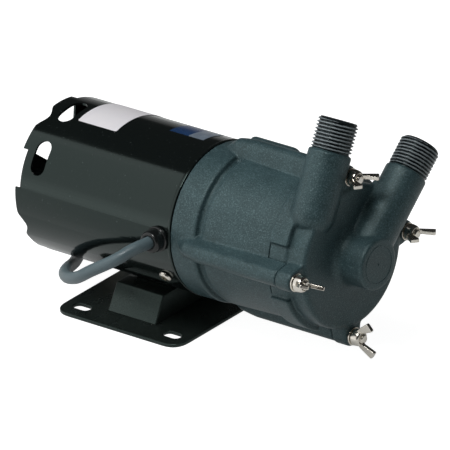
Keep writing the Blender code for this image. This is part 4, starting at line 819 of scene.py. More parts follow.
def place_camera():
    azimuth = math.radians(VIEW_AZIMUTH)
    elevation = math.radians(VIEW_ELEVATION)
    roll = math.radians(VIEW_ROLL)
    flat = math.cos(elevation)
    toward = Vector((math.sin(azimuth) * flat, -math.cos(azimuth) * flat, math.sin(elevation)))
    level = Vector((math.cos(azimuth), math.sin(azimuth), 0.0))
    right = level * math.cos(roll) + toward.cross(level) * math.sin(roll)
    data = bpy.data.cameras.new("camera")
    data.sensor_width = SENSOR_WIDTH
    data.lens = SENSOR_WIDTH * VIEW_DISTANCE * PIXELS_PER_METRE / FRAME_PIXELS
    data.clip_end = 4.0 * VIEW_DISTANCE
    camera = add_object("camera", data)
    spot = VIEW_CENTRE + toward * VIEW_DISTANCE
    camera.matrix_world = axes_at(spot, right, toward.cross(right), toward)
    bpy.context.scene.camera = camera
    bpy.context.scene.view_settings.view_transform = "Standard"


TABLE_HALF = 0.60
TABLE_NEAR_EDGE = -0.440
TABLE_THICKNESS = 0.002
TABLE_LIFT = 0.93
TABLE_SHEEN = 0.22
PANEL_TOP = Vector((0.0, -0.150, 0.990))
PANEL_BOTTOM = Vector((0.0, -0.8285, -0.0634))
PANEL_LEFT = -1.70
PANEL_RIGHT = 0.10
PANEL_RADIANCE = 0.88
SKY_EVEN = 0.15


def pale_table():
    """Matt pale table that the eye sees as white except where the pump keeps light from it."""
    finish = Finish("pale_table", Roughness=0.7)
    grain = finish.noise(30.0, 2.0)
    finish.surface("Base Color", finish.blend(grain, (0.48, 0.49, 0.49), (0.51, 0.52, 0.52)))
    camera = finish.node("ShaderNodeLightPath", out="Is Camera Ray")
    through = finish.node("ShaderNodeLightPath", out="Is Transmission Ray")
    glossy = finish.node("ShaderNodeLightPath", out="Is Glossy Ray")
    shown = (camera + through) * TABLE_LIFT + glossy * TABLE_SHEEN
    glow = finish.node("ShaderNodeEmission", None, {"Strength": shown})
    both = finish.node("ShaderNodeAddShader")
    finish.feed(both.socket.node.inputs[0], Wire(finish, finish.shader.outputs[0]))
    finish.feed(both.socket.node.inputs[1], glow)
    finish.feed(finish.tree.nodes["Material Output"].inputs["Surface"], both)
    return finish.material


def lay_table():
    outline = [
        (-TABLE_HALF, TABLE_NEAR_EDGE),
        (TABLE_HALF, TABLE_NEAR_EDGE),
        (TABLE_HALF, TABLE_HALF),
        (-TABLE_HALF, TABLE_HALF),
    ]
    board = slab(outline, TABLE_THICKNESS)
    table = loose("table", put(board, shift_to(0.0, 0.0, -TABLE_THICKNESS / 2.0)))
    table.data.materials.append(pale_table())


def hang_panel():
    """Large soft panel on the near left, its upper edge parallel to the shaft."""
    data = bpy.data.lights.new("soft_panel", "AREA")
    data.shape = "RECTANGLE"
    rise = PANEL_TOP - PANEL_BOTTOM
    data.size = PANEL_RIGHT - PANEL_LEFT
    data.size_y = rise.length
    data.energy = PANEL_RADIANCE * math.pi * data.size * data.size_y
    along = Vector((1.0, 0.0, 0.0))
    up = rise.normalized()
    panel = add_object("soft_panel", data)
    middle = (PANEL_TOP + PANEL_BOTTOM) / 2.0 + along * (PANEL_LEFT + PANEL_RIGHT) / 2.0
    panel.matrix_world = axes_at(middle, along, up, along.cross(up))


def hang_fill(name, at, toward, size, radiance, in_gloss):
    data = bpy.data.lights.new(name, "AREA")
    data.shape = "DISK"
    data.size = size
    data.energy = radiance * math.pi * math.pi * (size / 2.0) ** 2
    lamp = add_object(name, data)
    heading = Vector(toward) - Vector(at)
    turn = heading.to_track_quat("-Z", "Y").to_matrix().to_4x4()
    lamp.matrix_world = Matrix.Translation(at) @ turn
    lamp.visible_glossy = in_gloss


class Sky(Finish):
    """The world's tree, built with the same tools as a finish."""

    def __init__(self, name):
        self.world = bpy.data.worlds.new(name)
        self.world.use_nodes = True
        self.tree = self.world.node_tree


def paint_sky():
    """White to the eye, a pale ring low down for reflections, dim and even for the light it gives."""
    sky = Sky("studio")
    direction = sky.node("ShaderNodeTexCoord", out="Generated")
    height = sky.node("ShaderNodeSeparateXYZ", None, {"Vector": direction}, out="Z")
    low_ring = sky.shift(height, -0.02, 0.14, 0.30, 0.02)
    camera = sky.node("ShaderNodeLightPath", out="Is Camera Ray")
    glossy = sky.node("ShaderNodeLightPath", out="Is Glossy Ray")
    through = sky.node("ShaderNodeLightPath", out="Is Transmission Ray")
    plain = (1.0 - camera) * (1.0 - glossy) * (1.0 - through)
    strength = camera + through + glossy * low_ring + plain * SKY_EVEN
    sky.feed(sky.tree.nodes["Background"].inputs["Strength"], strength)
    sky.tree.nodes["Background"].inputs["Color"].default_value = (1.0, 1.0, 1.0, 1.0)
    bpy.context.scene.world = sky.world


# Cord


def smooth_route(points, per_span):
    """Points along a Catmull-Rom curve through a route, with end tangents from its own ends."""
    knots = [Vector(point) for point in points]
    padded = [2.0 * knots[0] - knots[1], *knots, 2.0 * knots[-1] - knots[-2]]
    made = []
    for index in range(1, len(padded) - 2):
        before, start, end, after = padded[index - 1 : index + 3]
        for step in range(per_span):
            t = step / per_span
            made.append(
                0.5
                * (
                    2.0 * start
                    + (end - before) * t
                    + (2.0 * before - 5.0 * start + 4.0 * end - after) * t**2
                    + (3.0 * start - before - 3.0 * end + after) * t**3
                )
            )
    return [*made, knots[-1]]


def ease_step(value, start, end):
    """0 before start, 1 after end, smooth between."""
    share = min(1.0, max(0.0, (value - start) / (end - start)))
    return share * share * (3.0 - 2.0 * share)


def coil_points():
    """Turns of the stored cord: three inward on the floor, then outward on top, then up onto the coil."""
    outer = COIL_MEAN_RADIUS + CORD_DIAMETER
    inner = COIL_MEAN_RADIUS - CORD_DIAMETER
    floor_line = SEAT_GAP + CORD_DIAMETER / 2.0
    moves = (
        (0.02, 0.20, outer - COIL_ARRIVAL_RADIUS, 0.0),
        (0.94, 1.12, -CORD_DIAMETER, 0.0),
        (1.94, 2.12, -CORD_DIAMETER, 0.0),
        (2.92, 3.14, 0.0, CORD_DIAMETER),
        (3.94, 4.12, CORD_DIAMETER, 0.0),
        (4.90, 5.08, CORD_DIAMETER, 0.0),
        (5.22, 5.49, 0.0432 - outer, TAIL_ROUTE[0][2] - floor_line - CORD_DIAMETER),
    )
    made = []
    count = round(COIL_TURNS * COIL_STEPS)
    end_turn = math.atan2(TAIL_ROUTE[0][1] - COIL_CENTRE.y, TAIL_ROUTE[0][0] - COIL_CENTRE.x)
    total = COIL_TURNS - end_turn / (2.0 * math.pi)
    for index in range(count):
        turns = total * index / count
        radius = COIL_ARRIVAL_RADIUS
        height = floor_line
        for start, end, step_out, step_up in moves:
            share = ease_step(turns, start, end)
            radius += step_out * share
            height += step_up * share
        angle = math.pi - 2.0 * math.pi * turns
        made.append(COIL_CENTRE + Vector((radius * math.cos(angle), radius * math.sin(angle), height)))
    return made


def relief_axis(height):
    return MACHINE @ polar(SHELL_RADIUS + SEAT_GAP + height, RELIEF_ANGLE, RELIEF_X)


def cord_line():
    inside = relief_axis(RELIEF_OUTSIDE - RELIEF_CORD_DEPTH + SEAT_GAP)
    outside = relief_axis(RELIEF_OUTSIDE + CORD_DIAMETER / 2.0)
    coil = coil_points()
    lead = smooth_route([inside, outside, *CORD_ROUTE, coil[0]], ROUTE_POINTS_PER_SPAN)
    tail = smooth_route(TAIL_ROUTE, ROUTE_POINTS_PER_SPAN)
    return [*lead[:-1], *coil, *tail]


def lay_cord(plug_pieces):
    line = cord_line()
    curve = bpy.data.curves.new("cord", "CURVE")
    curve.dimensions = "3D"
    curve.bevel_depth = CORD_DIAMETER / 2.0
    curve.bevel_resolution = 6
    curve.use_fill_caps = True
    spline = curve.splines.new("POLY")
    spline.points.add(len(line) - 1)
    for spot, point in zip(spline.points, line):
        spot.co = (*point, 1.0)
    spline.use_smooth = True
    cord = add_object("cord", curve)
    curve.materials.append(JACKET)
    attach(cord, "pump_body")
    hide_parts("power_cord", "cord_tail", "cord_coil")
    length = sum((after - before).length for before, after in zip(line, line[1:]))


def plug_axes():
    """Origin at the end of the tail: local Z along the plug, local Y up."""
    end = Vector(TAIL_ROUTE[-1])
    heading = end - Vector(TAIL_ROUTE[-2])
    heading.z = 0.0
    heading.normalize()
    up = Vector((0.0, 0.0, 1.0))
    return axes_at(end + heading * SEAT_GAP, up.cross(heading), up, heading)


def plug_section(width, height, station, power, count=40):
    """Ring of a rounded oblong across the plug."""
    ring = []
    for index in range(count):
        angle = 2.0 * math.pi * index / count
        c = math.cos(angle)
        s = math.sin(angle)
        x = math.copysign(abs(c) ** (2.0 / power), c) * width
        y = math.copysign(abs(s) ** (2.0 / power), s) * height
        ring.append((x, y, station))
    return ring


def loft(sections, hollow=False):
    """Skin over rings of the same count: closed at both ends, or the last ring joined to the first."""
    bm = bmesh.new()
    rings = [[bm.verts.new(point) for point in ring] for ring in sections]
    beyond = [*rings[1:], rings[0]] if hollow else rings[1:]
    for lower, upper in zip(rings, beyond):
        count = len(lower)
        for index in range(count):
            after = (index + 1) % count
            bm.faces.new((lower[index], lower[after], upper[after], upper[index]))
    if not hollow:
        bm.faces.new(rings[0][::-1])
        bm.faces.new(rings[-1])
    bmesh.ops.recalc_face_normals(bm, faces=bm.faces)
    return bm


def build_plug():
    """Moulded three-pin plug: ribbed neck, waisted body, flat face, two blades and a round pin."""
    axes = plug_axes()
    neck = PLUG_NECK_RADIUS
    sections = [plug_section(neck * 0.82, neck * 0.82, 0.0, 2.0)]
    ribs = 4
    rib_pitch = (PLUG_NECK_LENGTH - 0.0020) / ribs
    for index in range(ribs):
        start = 0.0004 + rib_pitch * index
        swell = neck * (0.90 + 0.05 * index)
        for share, size in ((0.0, 0.94), (0.15, 1.0), (0.55, 1.0), (0.70, 0.90), (0.98, 0.90)):
            sections.append(plug_section(swell * size, swell * size, start + rib_pitch * share, 2.0))
    body = (
        (0.0000, 0.56, 0.56, 2.0),
        (0.0030, 0.72, 0.70, 2.2),
        (0.0070, 0.90, 0.86, 2.5),
        (0.0110, 0.93, 0.84, 2.6),
        (0.0160, 0.90, 0.80, 2.7),
        (0.0210, 0.94, 0.88, 2.8),
        (0.0250, 0.99, 0.97, 2.8),
        (0.0285, 1.00, 1.00, 2.8),
        (0.0295, 0.98, 0.98, 2.8),
        (0.0300, 0.94, 0.94, 2.8),
    )
    for station, wide, high, power in body:
        half_width = PLUG_RADIUS * wide
        half_height = PLUG_RADIUS * high
        sections.append(plug_section(half_width, half_height, PLUG_NECK_LENGTH + station, power))
    plug = loose("plug_body", loft(sections))
    dress(plug, JACKET, stands_for=["cord_plug"], place=axes)
    face = PLUG_NECK_LENGTH + PLUG_LENGTH + SEAT_GAP
    made = [plug]
    for name, side in (("left", 1.0), ("right", -1.0)):
        outline = soften(
            [
                (-BLADE_WIDTH / 2.0, 0.0, 0.0),
                (BLADE_WIDTH / 2.0, 0.0, 0.0),
                (BLADE_WIDTH / 2.0, BLADE_LENGTH, 0.0016),
                (-BLADE_WIDTH / 2.0, BLADE_LENGTH, 0.0016),
            ]
        )
        stand = Matrix(((0, 0, 1, 0), (1, 0, 0, 0), (0, 1, 0, 0), (0, 0, 0, 1)))
        at = shift_to(side * BLADE_SPACING / 2.0, -BLADE_DROP, face)
        blade = loose(f"blade_{name}", put(slab(outline, BLADE_THICKNESS), at, stand))
        hole = rod(BLADE_HOLE_RADIUS, BLADE_HOLE_RADIUS, BLADE_HOLE_REACH, 24)
        hole_at = shift_to(-BLADE_HOLE_REACH / 2.0, 0.0, BLADE_LENGTH - BLADE_HOLE_FROM_TIP)
        carve(blade, put(hole, at, hole_at, turn_y(90.0)))
        bevel_edges(blade, 0.00025)
        made.append(dress(blade, BRIGHT, stands_for=[f"plug_blade_{name}"], place=axes))
    tip = GROUND_PIN_LENGTH
    pin_profile = soften(
        [
            (0.0, 0.0, 0.0),
            (GROUND_PIN_RADIUS, 0.0, 0.0002),
            (GROUND_PIN_RADIUS, tip, 0.0030),
            (0.0, tip, 0.0),
        ],
        closed=False,
    )
    at = shift_to(0.0, GROUND_PIN_OFFSET - BLADE_DROP, face)
    pin = loose("ground_pin", put(lathe(pin_profile, 32), at))
    made.append(dress(pin, BRIGHT, stands_for=["plug_ground_pin"], place=axes))
    return made


# Foot


def rounded_rectangle(length, width, corner):
    x = length / 2.0
    y = width / 2.0
    return soften([(x, y, corner), (-x, y, corner), (-x, -y, corner), (x, -y, corner)], 12)


def obround(length, width):
    reach = (length - width) / 2.0
    made = []
    for centre, first in ((reach, -90.0), (-reach, 90.0)):
        for step in range(13):
            turn = math.radians(first + 15.0 * step)
            made.append((centre + width / 2.0 * math.cos(turn), width / 2.0 * math.sin(turn)))
    return made


def bevelled_sheet(name, outlines, thickness, edge):
    """Flat sheet with holes and rounded edges, from closed outlines in the XY plane."""
    curve = bpy.data.curves.new(name, "CURVE")
    curve.dimensions = "2D"
    curve.fill_mode = "BOTH"
    curve.extrude = thickness / 2.0 - edge
    curve.bevel_depth = edge
    curve.bevel_resolution = 3
    curve.offset = -edge
    for outline in outlines:
        spline = curve.splines.new("POLY")
        spline.points.add(len(outline) - 1)
        for spot, (x, y) in zip(spline.points, outline):
            spot.co = (x, y, 0.0, 1.0)
        spline.use_cyclic_u = True
    flat = add_object(name, curve)
    view = bpy.context.evaluated_depsgraph_get()
    mesh = bpy.data.meshes.new_from_object(flat.evaluated_get(view))
    bpy.data.objects.remove(flat)
    return add_object(name, mesh)


def build_foot_plate():
    outlines = [rounded_rectangle(PLATE_LENGTH, PLATE_WIDTH, PLATE_CORNER)]
    for side_x in (1.0, -1.0):
        for side_y in (1.0, -1.0):
            slot = obround(FOOT_SLOT_LENGTH, FOOT_SLOT_WIDTH)
            centre_x = side_x * FOOT_SLOT_SPACING_X / 2.0
            centre_y = side_y * FOOT_SLOT_SPACING_Y / 2.0
            outlines.append([(x + centre_x, y + centre_y) for x, y in slot[::-1]])
    plate = bevelled_sheet("foot_plate", outlines, PLATE_THICKNESS, PLATE_EDGE)
    at = shift_to(0.0, 0.0, PLATE_THICKNESS / 2.0)
    dress(plate, SATIN, stands_for=["base_plate"], place=at)


def pedestal_box(inset, base, top):
    """Drawn box whose long walls lean in."""
    bm = block((1.0, 1.0, 1.0))
    for vert in bm.verts:
        above = vert.co.z > 0.0
        x = PEDESTAL_LENGTH / 2.0 - inset - (PEDESTAL_TAPER if above else 0.0)
        y = PEDESTAL_WIDTH / 2.0 - inset - (PEDESTAL_LEAN if above else 0.0)
        height = top if above else base
        vert.co = (math.copysign(x, vert.co.x), math.copysign(y, vert.co.y), height)
    return bm


def build_pedestal():
    base = PLATE_THICKNESS + SEAT_GAP
    top = AXIS_HEIGHT - SHELL_RADIUS - 2.0 * SEAT_GAP - CRADLE_THICKNESS
    bm = pedestal_box(0.0, base, top + PEDESTAL_RISE)
    upper = [edge for edge in bm.edges if max(vert.co.z for vert in edge.verts) > base + MERGE]
    bmesh.ops.bevel(
        bm,
        geom=upper,
        offset=PEDESTAL_EDGE,
        segments=6,
        profile=0.5,
        affect="EDGES",
    )
    box = loose("pedestal_box", bm)
    carve(box, pedestal_box(SHELL_WALL + 0.0004, base - OVERRUN, top - SHELL_WALL - 0.0004))
    saddle = AXIS_HEIGHT - top
    length = PEDESTAL_LENGTH + 2.0 * OVERRUN
    carve(box, put(rod(saddle, saddle, length, SHELL_STEPS), MACHINE, shift_to(0.0, 0.0, -length / 2.0)))
    dress(box, SATIN, stands_for=["pedestal"], place=Matrix.Identity(4))


def build_cradle():
    inner = SHELL_RADIUS + SEAT_GAP
    outer = inner + CRADLE_THICKNESS
    half = CRADLE_LENGTH / 2.0
    profile = [(outer, half), (outer, -half), (inner, -half), (inner, half)]
    start = 180.0 + HEAD_TURN - CRADLE_HALF_ANGLE
    strip = loose("cradle_strip", lathe(profile, 48, True, start, 2.0 * CRADLE_HALF_ANGLE))
    bevel_edges(strip, 0.0005, 3)
    dress(strip, SATIN, stands_for=["cradle"])


# Motor


def shell_profile():
    bead = SHELL_RADIUS + SHELL_BEAD_HEIGHT
    cup = BEARING_RADIUS + SEAT_GAP
    cup_front = END_PLATE_REAR + BEARING_LENGTH
    cup_wall = cup + SHELL_WALL
    return soften(
        [
            (SHELL_RADIUS - 0.0002, SHELL_FRONT, 0.0002),
            (bead, SHELL_FRONT - 0.0001, 0.0005),
            (bead, SHELL_FRONT - SHELL_BEAD_LENGTH, 0.0005),
            (SHELL_RADIUS, SHELL_FRONT - SHELL_BEAD_LENGTH - 0.0003, 0.0003),
            (SHELL_RADIUS, SHELL_REAR, 0.0004),
            (SHELL_BORE, SHELL_REAR, 0.0004),
            (SHELL_BORE, END_PLATE_REAR, 0.0005),
            (cup, END_PLATE_REAR, 0.0008),
            (cup, cup_front, 0.0002),
            (cup_wall, cup_front, 0.0003),
            (cup_wall, END_PLATE_FRONT, 0.0008),
            (SHELL_BORE, END_PLATE_FRONT, 0.0006),
            (SHELL_BORE, SHELL_FRONT, 0.0001),
        ],
        5,
    )


def spoke_corner_profile():
    """Rim beyond the end plate and the outside of the bend, taken off at a spoke."""
    beyond = SHELL_RADIUS + OVERRUN
    behind = SHELL_REAR - OVERRUN
    centre = (SHELL_RADIUS - END_PLATE_CORNER, END_PLATE_REAR + END_PLATE_CORNER)
    points = [(centre[0], behind)]
    for step in range(9):
        turn = math.radians(270.0 + 90.0 * step / 8.0)
        across = centre[0] + END_PLATE_CORNER * math.cos(turn)
        along = centre[1] + END_PLATE_CORNER * math.sin(turn)
        points.append((across, along))
    return [*points, (beyond, centre[1]), (beyond, behind)]


def rim_notch_outline():
    half = SHELL_RADIUS * math.radians(RIM_NOTCH_ANGLE) / 2.0
    count = 25
    points = []
    for index in range(count):
        share = -1.0 + 2.0 * index / (count - 1)
        points.append((RIM_NOTCH_DEPTH * (0.5 + 0.5 * math.cos(math.pi * share)), half * share))
    return [*points, (-OVERRUN, half), (-OVERRUN, -half)]


def build_shell():
    """Drawn can with spokes, windows, rim notches and vents, and a rolled bead at its mouth."""
    shell = loose("shell_can", lathe(shell_profile(), SHELL_STEPS, True))
    window = 360.0 / SPOKE_COUNT - SPOKE_ANGLE
    starts = [SPOKE_START + 360.0 / SPOKE_COUNT * index for index in range(SPOKE_COUNT)]
    carve(shell, *[lathe(spoke_corner_profile(), 16, True, start, SPOKE_ANGLE) for start in starts])
    outer = SHELL_BORE - SEAT_GAP
    rear = END_PLATE_REAR - 0.001
    front = END_PLATE_FRONT + 0.001
    inner = REAR_HUB_RADIUS
    opening = [(outer, front), (outer, rear), (inner, rear), (inner, front)]
    carve(shell, *[lathe(opening, 32, True, start + SPOKE_ANGLE, window) for start in starts])
    tools = []
    for index in range(SPOKE_COUNT):
        middle = RIM_NOTCH_START + RIM_NOTCH_ANGLE / 2.0 + 360.0 / SPOKE_COUNT * index
        at = radial_frame(SHELL_RADIUS, middle, SHELL_REAR)
        tools.append(put(slab(rim_notch_outline(), 4.0 * OVERRUN), at))
    for angle in VENT_ANGLES:
        at = radial_frame(SHELL_RADIUS, angle, SHELL_REAR + VENT_FROM_REAR)
        tools.append(put(slab(obround(VENT_LENGTH, VENT_WIDTH), 4.0 * OVERRUN), at, turn_z(90.0)))
    hole = RELIEF_NECK_RADIUS + SEAT_GAP
    at = radial_frame(SHELL_BORE - 0.002, RELIEF_ANGLE, RELIEF_X)
    tools.append(put(rod(hole, hole, 0.006), at))
    carve(shell, *tools)
    dress(shell, ENAMEL, stands_for=["motor_shell"])


def wrapped_sheet(name, start, end, rear, front, corner, radius):
    """Thin sheet stuck on the shell: a rounded rectangle sliced finely, then wrapped round the shaft."""
    width = math.radians(end - start) * radius
    length = front - rear
    flat = bmesh.new()
    outline = rounded_rectangle(width, length, corner)
    flat.faces.new([flat.verts.new((x, y, 0.0)) for x, y in outline])
    slices = max(8, round(width / 0.0008))
    for index in range(1, slices):
        at = -width / 2.0 + width * index / slices
        geometry = list(flat.verts) + list(flat.edges) + list(flat.faces)
        bmesh.ops.bisect_plane(flat, geom=geometry, plane_co=(at, 0.0, 0.0), plane_no=(1.0, 0.0, 0.0))
    middle = (start + end) / 2.0
    for vert in flat.verts:
        angle = middle + math.degrees(vert.co.x / radius)
        vert.co = polar(radius, angle, (rear + front) / 2.0 + vert.co.y)
    item = loose(name, flat)
    step = item.modifiers.new("stock", "SOLIDIFY")
    step.thickness = SHEET_THICKNESS
    step.offset = 0.0
    return settle(item)


def build_label():
    """Bare nameplate over the shell's top, and a small two-tone sticker near its mouth."""
    radius = SHELL_RADIUS + SHEET_THICKNESS
    label = wrapped_sheet("nameplate", LABEL_START, LABEL_END, LABEL_REAR, LABEL_FRONT, 0.0012, radius)
    dress(label, PAPER)
    split = STICKER_REAR + (STICKER_FRONT - STICKER_REAR) * STICKER_SPLIT
    for name, rear, front, film in (
        ("sticker_rear", STICKER_REAR, split, BLUE_FILM),
        ("sticker_front", split, STICKER_FRONT, SILVER_FILM),
    ):
        part = wrapped_sheet(name, STICKER_START, STICKER_END, rear, front, 0.0002, radius)
        dress(part, film)


def build_ground_screw():
    """Pan head with a cross recess."""
    head = GROUND_SCREW_HEAD_RADIUS
    height = GROUND_SCREW_HEAD_HEIGHT
    profile = soften(
        [
            (0.0, height, 0.0),
            (head * 0.86, height, 0.0010),
            (head, 0.0, 0.0004),
            (0.0018, 0.0, 0.0),
            (0.0018, -0.0016, 0.0),
            (0.0, -0.0016, 0.0),
        ],
        closed=False,
    )
    screw = loose("earth_screw", lathe(profile, SMALL_STEPS))
    for size in ((0.0040, 0.0008, 0.0014), (0.0008, 0.0040, 0.0014)):
        carve(screw, put(block(size), shift_to(0.0, 0.0, height)))
    at = MACHINE @ radial_frame(SHELL_RADIUS + SEAT_GAP, GROUND_SCREW_ANGLE, GROUND_SCREW_X)
    dress(screw, BRIGHT, stands_for=["ground_screw"], place=at)


def build_relief():
    """Snap bushing: flange against the shell, domed knob, and the cord's hole through it."""
    bore = CORD_DIAMETER / 2.0 + SEAT_GAP / 2.0
    top = RELIEF_OUTSIDE
    profile = soften(
        [
            (bore, top - RELIEF_CORD_DEPTH, 0.0),
            (bore, top, 0.0006),
            (RELIEF_TIP_RADIUS, top, 0.0022),
            (RELIEF_RADIUS - 0.0006, top * 0.42, 0.0014),
            (RELIEF_RADIUS - 0.0007, 0.0016, 0.0004),
            (RELIEF_RADIUS, 0.0014, 0.0005),
            (RELIEF_RADIUS, 0.0, 0.0003),
            (RELIEF_NECK_RADIUS, 0.0, 0.0),
            (RELIEF_NECK_RADIUS * 0.9, -RELIEF_INSIDE, 0.0008),
            (0.0, -RELIEF_INSIDE, 0.0),
        ],
        closed=False,
    )
    profile = [(0.0, top - RELIEF_CORD_DEPTH), *profile]
    relief = loose("snap_bushing", lathe(profile, 64))
    at = MACHINE @ radial_frame(SHELL_RADIUS + SEAT_GAP, RELIEF_ANGLE, RELIEF_X)
    dress(relief, BLACK, stands_for=["strain_relief"], place=at)


# Bracket and volute


def rib_outline(centre, radius, flare, foot, inset=0.0):
    """Section of a bolt boss: X outward, Y round the drum; a round top on two spreading flanks."""
    half = radius + flare - inset
    points = [(foot, half)]
    for step in range(17):
        turn = math.radians(80.0 - 10.0 * step)
        reach = radius - inset
        points.append((centre + reach * math.cos(turn), reach * math.sin(turn)))
    return [*points, (foot, -half)]


def rib(sections):
    """Solid through rib outlines, each at its own station."""
    return loft([[(x, y, station) for x, y in outline] for station, outline in sections])


def boss_sections():
    """The boss climbs out of the ring along a ramp, then runs straight to a slightly eased front."""
    rear = BRACKET_REAR + BOLT_BOSS_SETBACK
    foot = BRACKET_REAR_RADIUS - BOLT_BOSS_ROOT
    sections = []
    for share, shift, size in BOLT_RAMP:
        outline = rib_outline(BOLT_CIRCLE + shift, BOLT_BOSS_RADIUS * size, BOLT_BOSS_FLARE * size, foot)
        sections.append((rear + share * BOLT_RAMP_LENGTH, outline))
    for setback, inset in ((0.0006, 0.0), (0.0002, 0.00018), (0.0, 0.0005)):
        outline = rib_outline(BOLT_CIRCLE, BOLT_BOSS_RADIUS, BOLT_BOSS_FLARE, foot, inset)
        sections.append((COLLAR_FRONT - setback, outline))
    return sections


def lug_profile():
    points = [(0.0, 0.0), (LUG_RADIUS, 0.0)]
    for step in range(13):
        turn = math.radians(90.0 * step / 12.0)
        points.append((LUG_RADIUS * math.cos(turn), LUG_LENGTH + LUG_RADIUS * math.sin(turn)))
    return points


def build_bracket():
    """Moulded drum: stepped rear ring, groove, panel and four bolt bosses with eased roots."""
    groove = BRACKET_REAR_RADIUS - GROOVE_DEPTH
    drum = soften(
        [
            (0.0, PANEL_REAR, 0.0),
            (BRACKET_REAR_RADIUS, PANEL_REAR, 0.0006),
            (BRACKET_FRONT_RADIUS, COLLAR_REAR, 0.0),
            (0.0, COLLAR_REAR, 0.0),
        ],
        closed=False,
    )
    core_rear = RING_FRONT - 0.001
    core_front = PANEL_REAR + 0.001
    core = [(0.0, core_rear), (groove, core_rear), (groove, core_front), (0.0, core_front)]
    ring = soften(
        [
            (0.0, BRACKET_REAR, 0.0),
            (RING_RADIUS, BRACKET_REAR, 0.0002),
            (RING_RADIUS, RING_FRONT, 0.0016),
            (0.0, RING_FRONT, 0.0),
        ],
        closed=False,
    )
    solids = [lathe(profile, SHELL_STEPS) for profile in (drum, core, ring)]
    solids += [put(rib(boss_sections()), turn_z(angle)) for angle in BOLT_ANGLES]
    lug_at = Matrix.Translation(polar(LUG_CIRCLE, LUG_ANGLE, BRACKET_REAR))
    solids.append(put(lathe(lug_profile(), SMALL_STEPS), lug_at))
    bracket = mould(loose("bracket_moulding", *solids), MOULD_VOXEL, 4)
    clear = SKIRT_RADIUS + SEAT_GAP
    front = COLLAR_FRONT + OVERRUN
    hollow = [
        (0.0, BRACKET_REAR - OVERRUN),
        (BRACKET_SHAFT_HOLE, BRACKET_REAR - OVERRUN),
        (BRACKET_SHAFT_HOLE, BRACKET_REAR + BRACKET_WEB),
        (BRACKET_BORE, BRACKET_REAR + BRACKET_WEB),
        (BRACKET_BORE, PARTING),
        (clear, PARTING),
        (clear, front),
        (0.0, front),
    ]
    carve(bracket, lathe(hollow, SHELL_STEPS))
    dress(bracket, MOULDED, stands_for=["adapter_bracket"])


def volute_profile():
    return soften(
        [
            (0.0, BOSS_FRONT, 0.0),
            (INLET_BOSS_RADIUS, BOSS_FRONT, 0.0018),
            (INLET_BOSS_RADIUS, FACE, INLET_BOSS_FILLET),
            (VOLUTE_RADIUS, FACE, VOLUTE_EDGE),
            (VOLUTE_RADIUS, COLLAR_FRONT, 0.0),
            (SKIRT_RADIUS, COLLAR_FRONT - 0.0020, 0.0),
            (SKIRT_RADIUS, COLLAR_REAR, 0.0),
            (0.0, COLLAR_REAR, 0.0),
        ],
        8,
        closed=False,
    )


def tube_profile(foot, shoulder):
    """Foot, straight side and the step down to the thread."""
    return soften(
        [
            *foot,
            (TUBE_RADIUS, shoulder, 0.0006),
            (THREAD_ROOT - 0.0004, shoulder + 0.0004, 0.0),
            (THREAD_ROOT - 0.0004, shoulder + 0.0030, 0.0),
            (0.0, shoulder + 0.0030, 0.0),
        ],
        closed=False,
    )


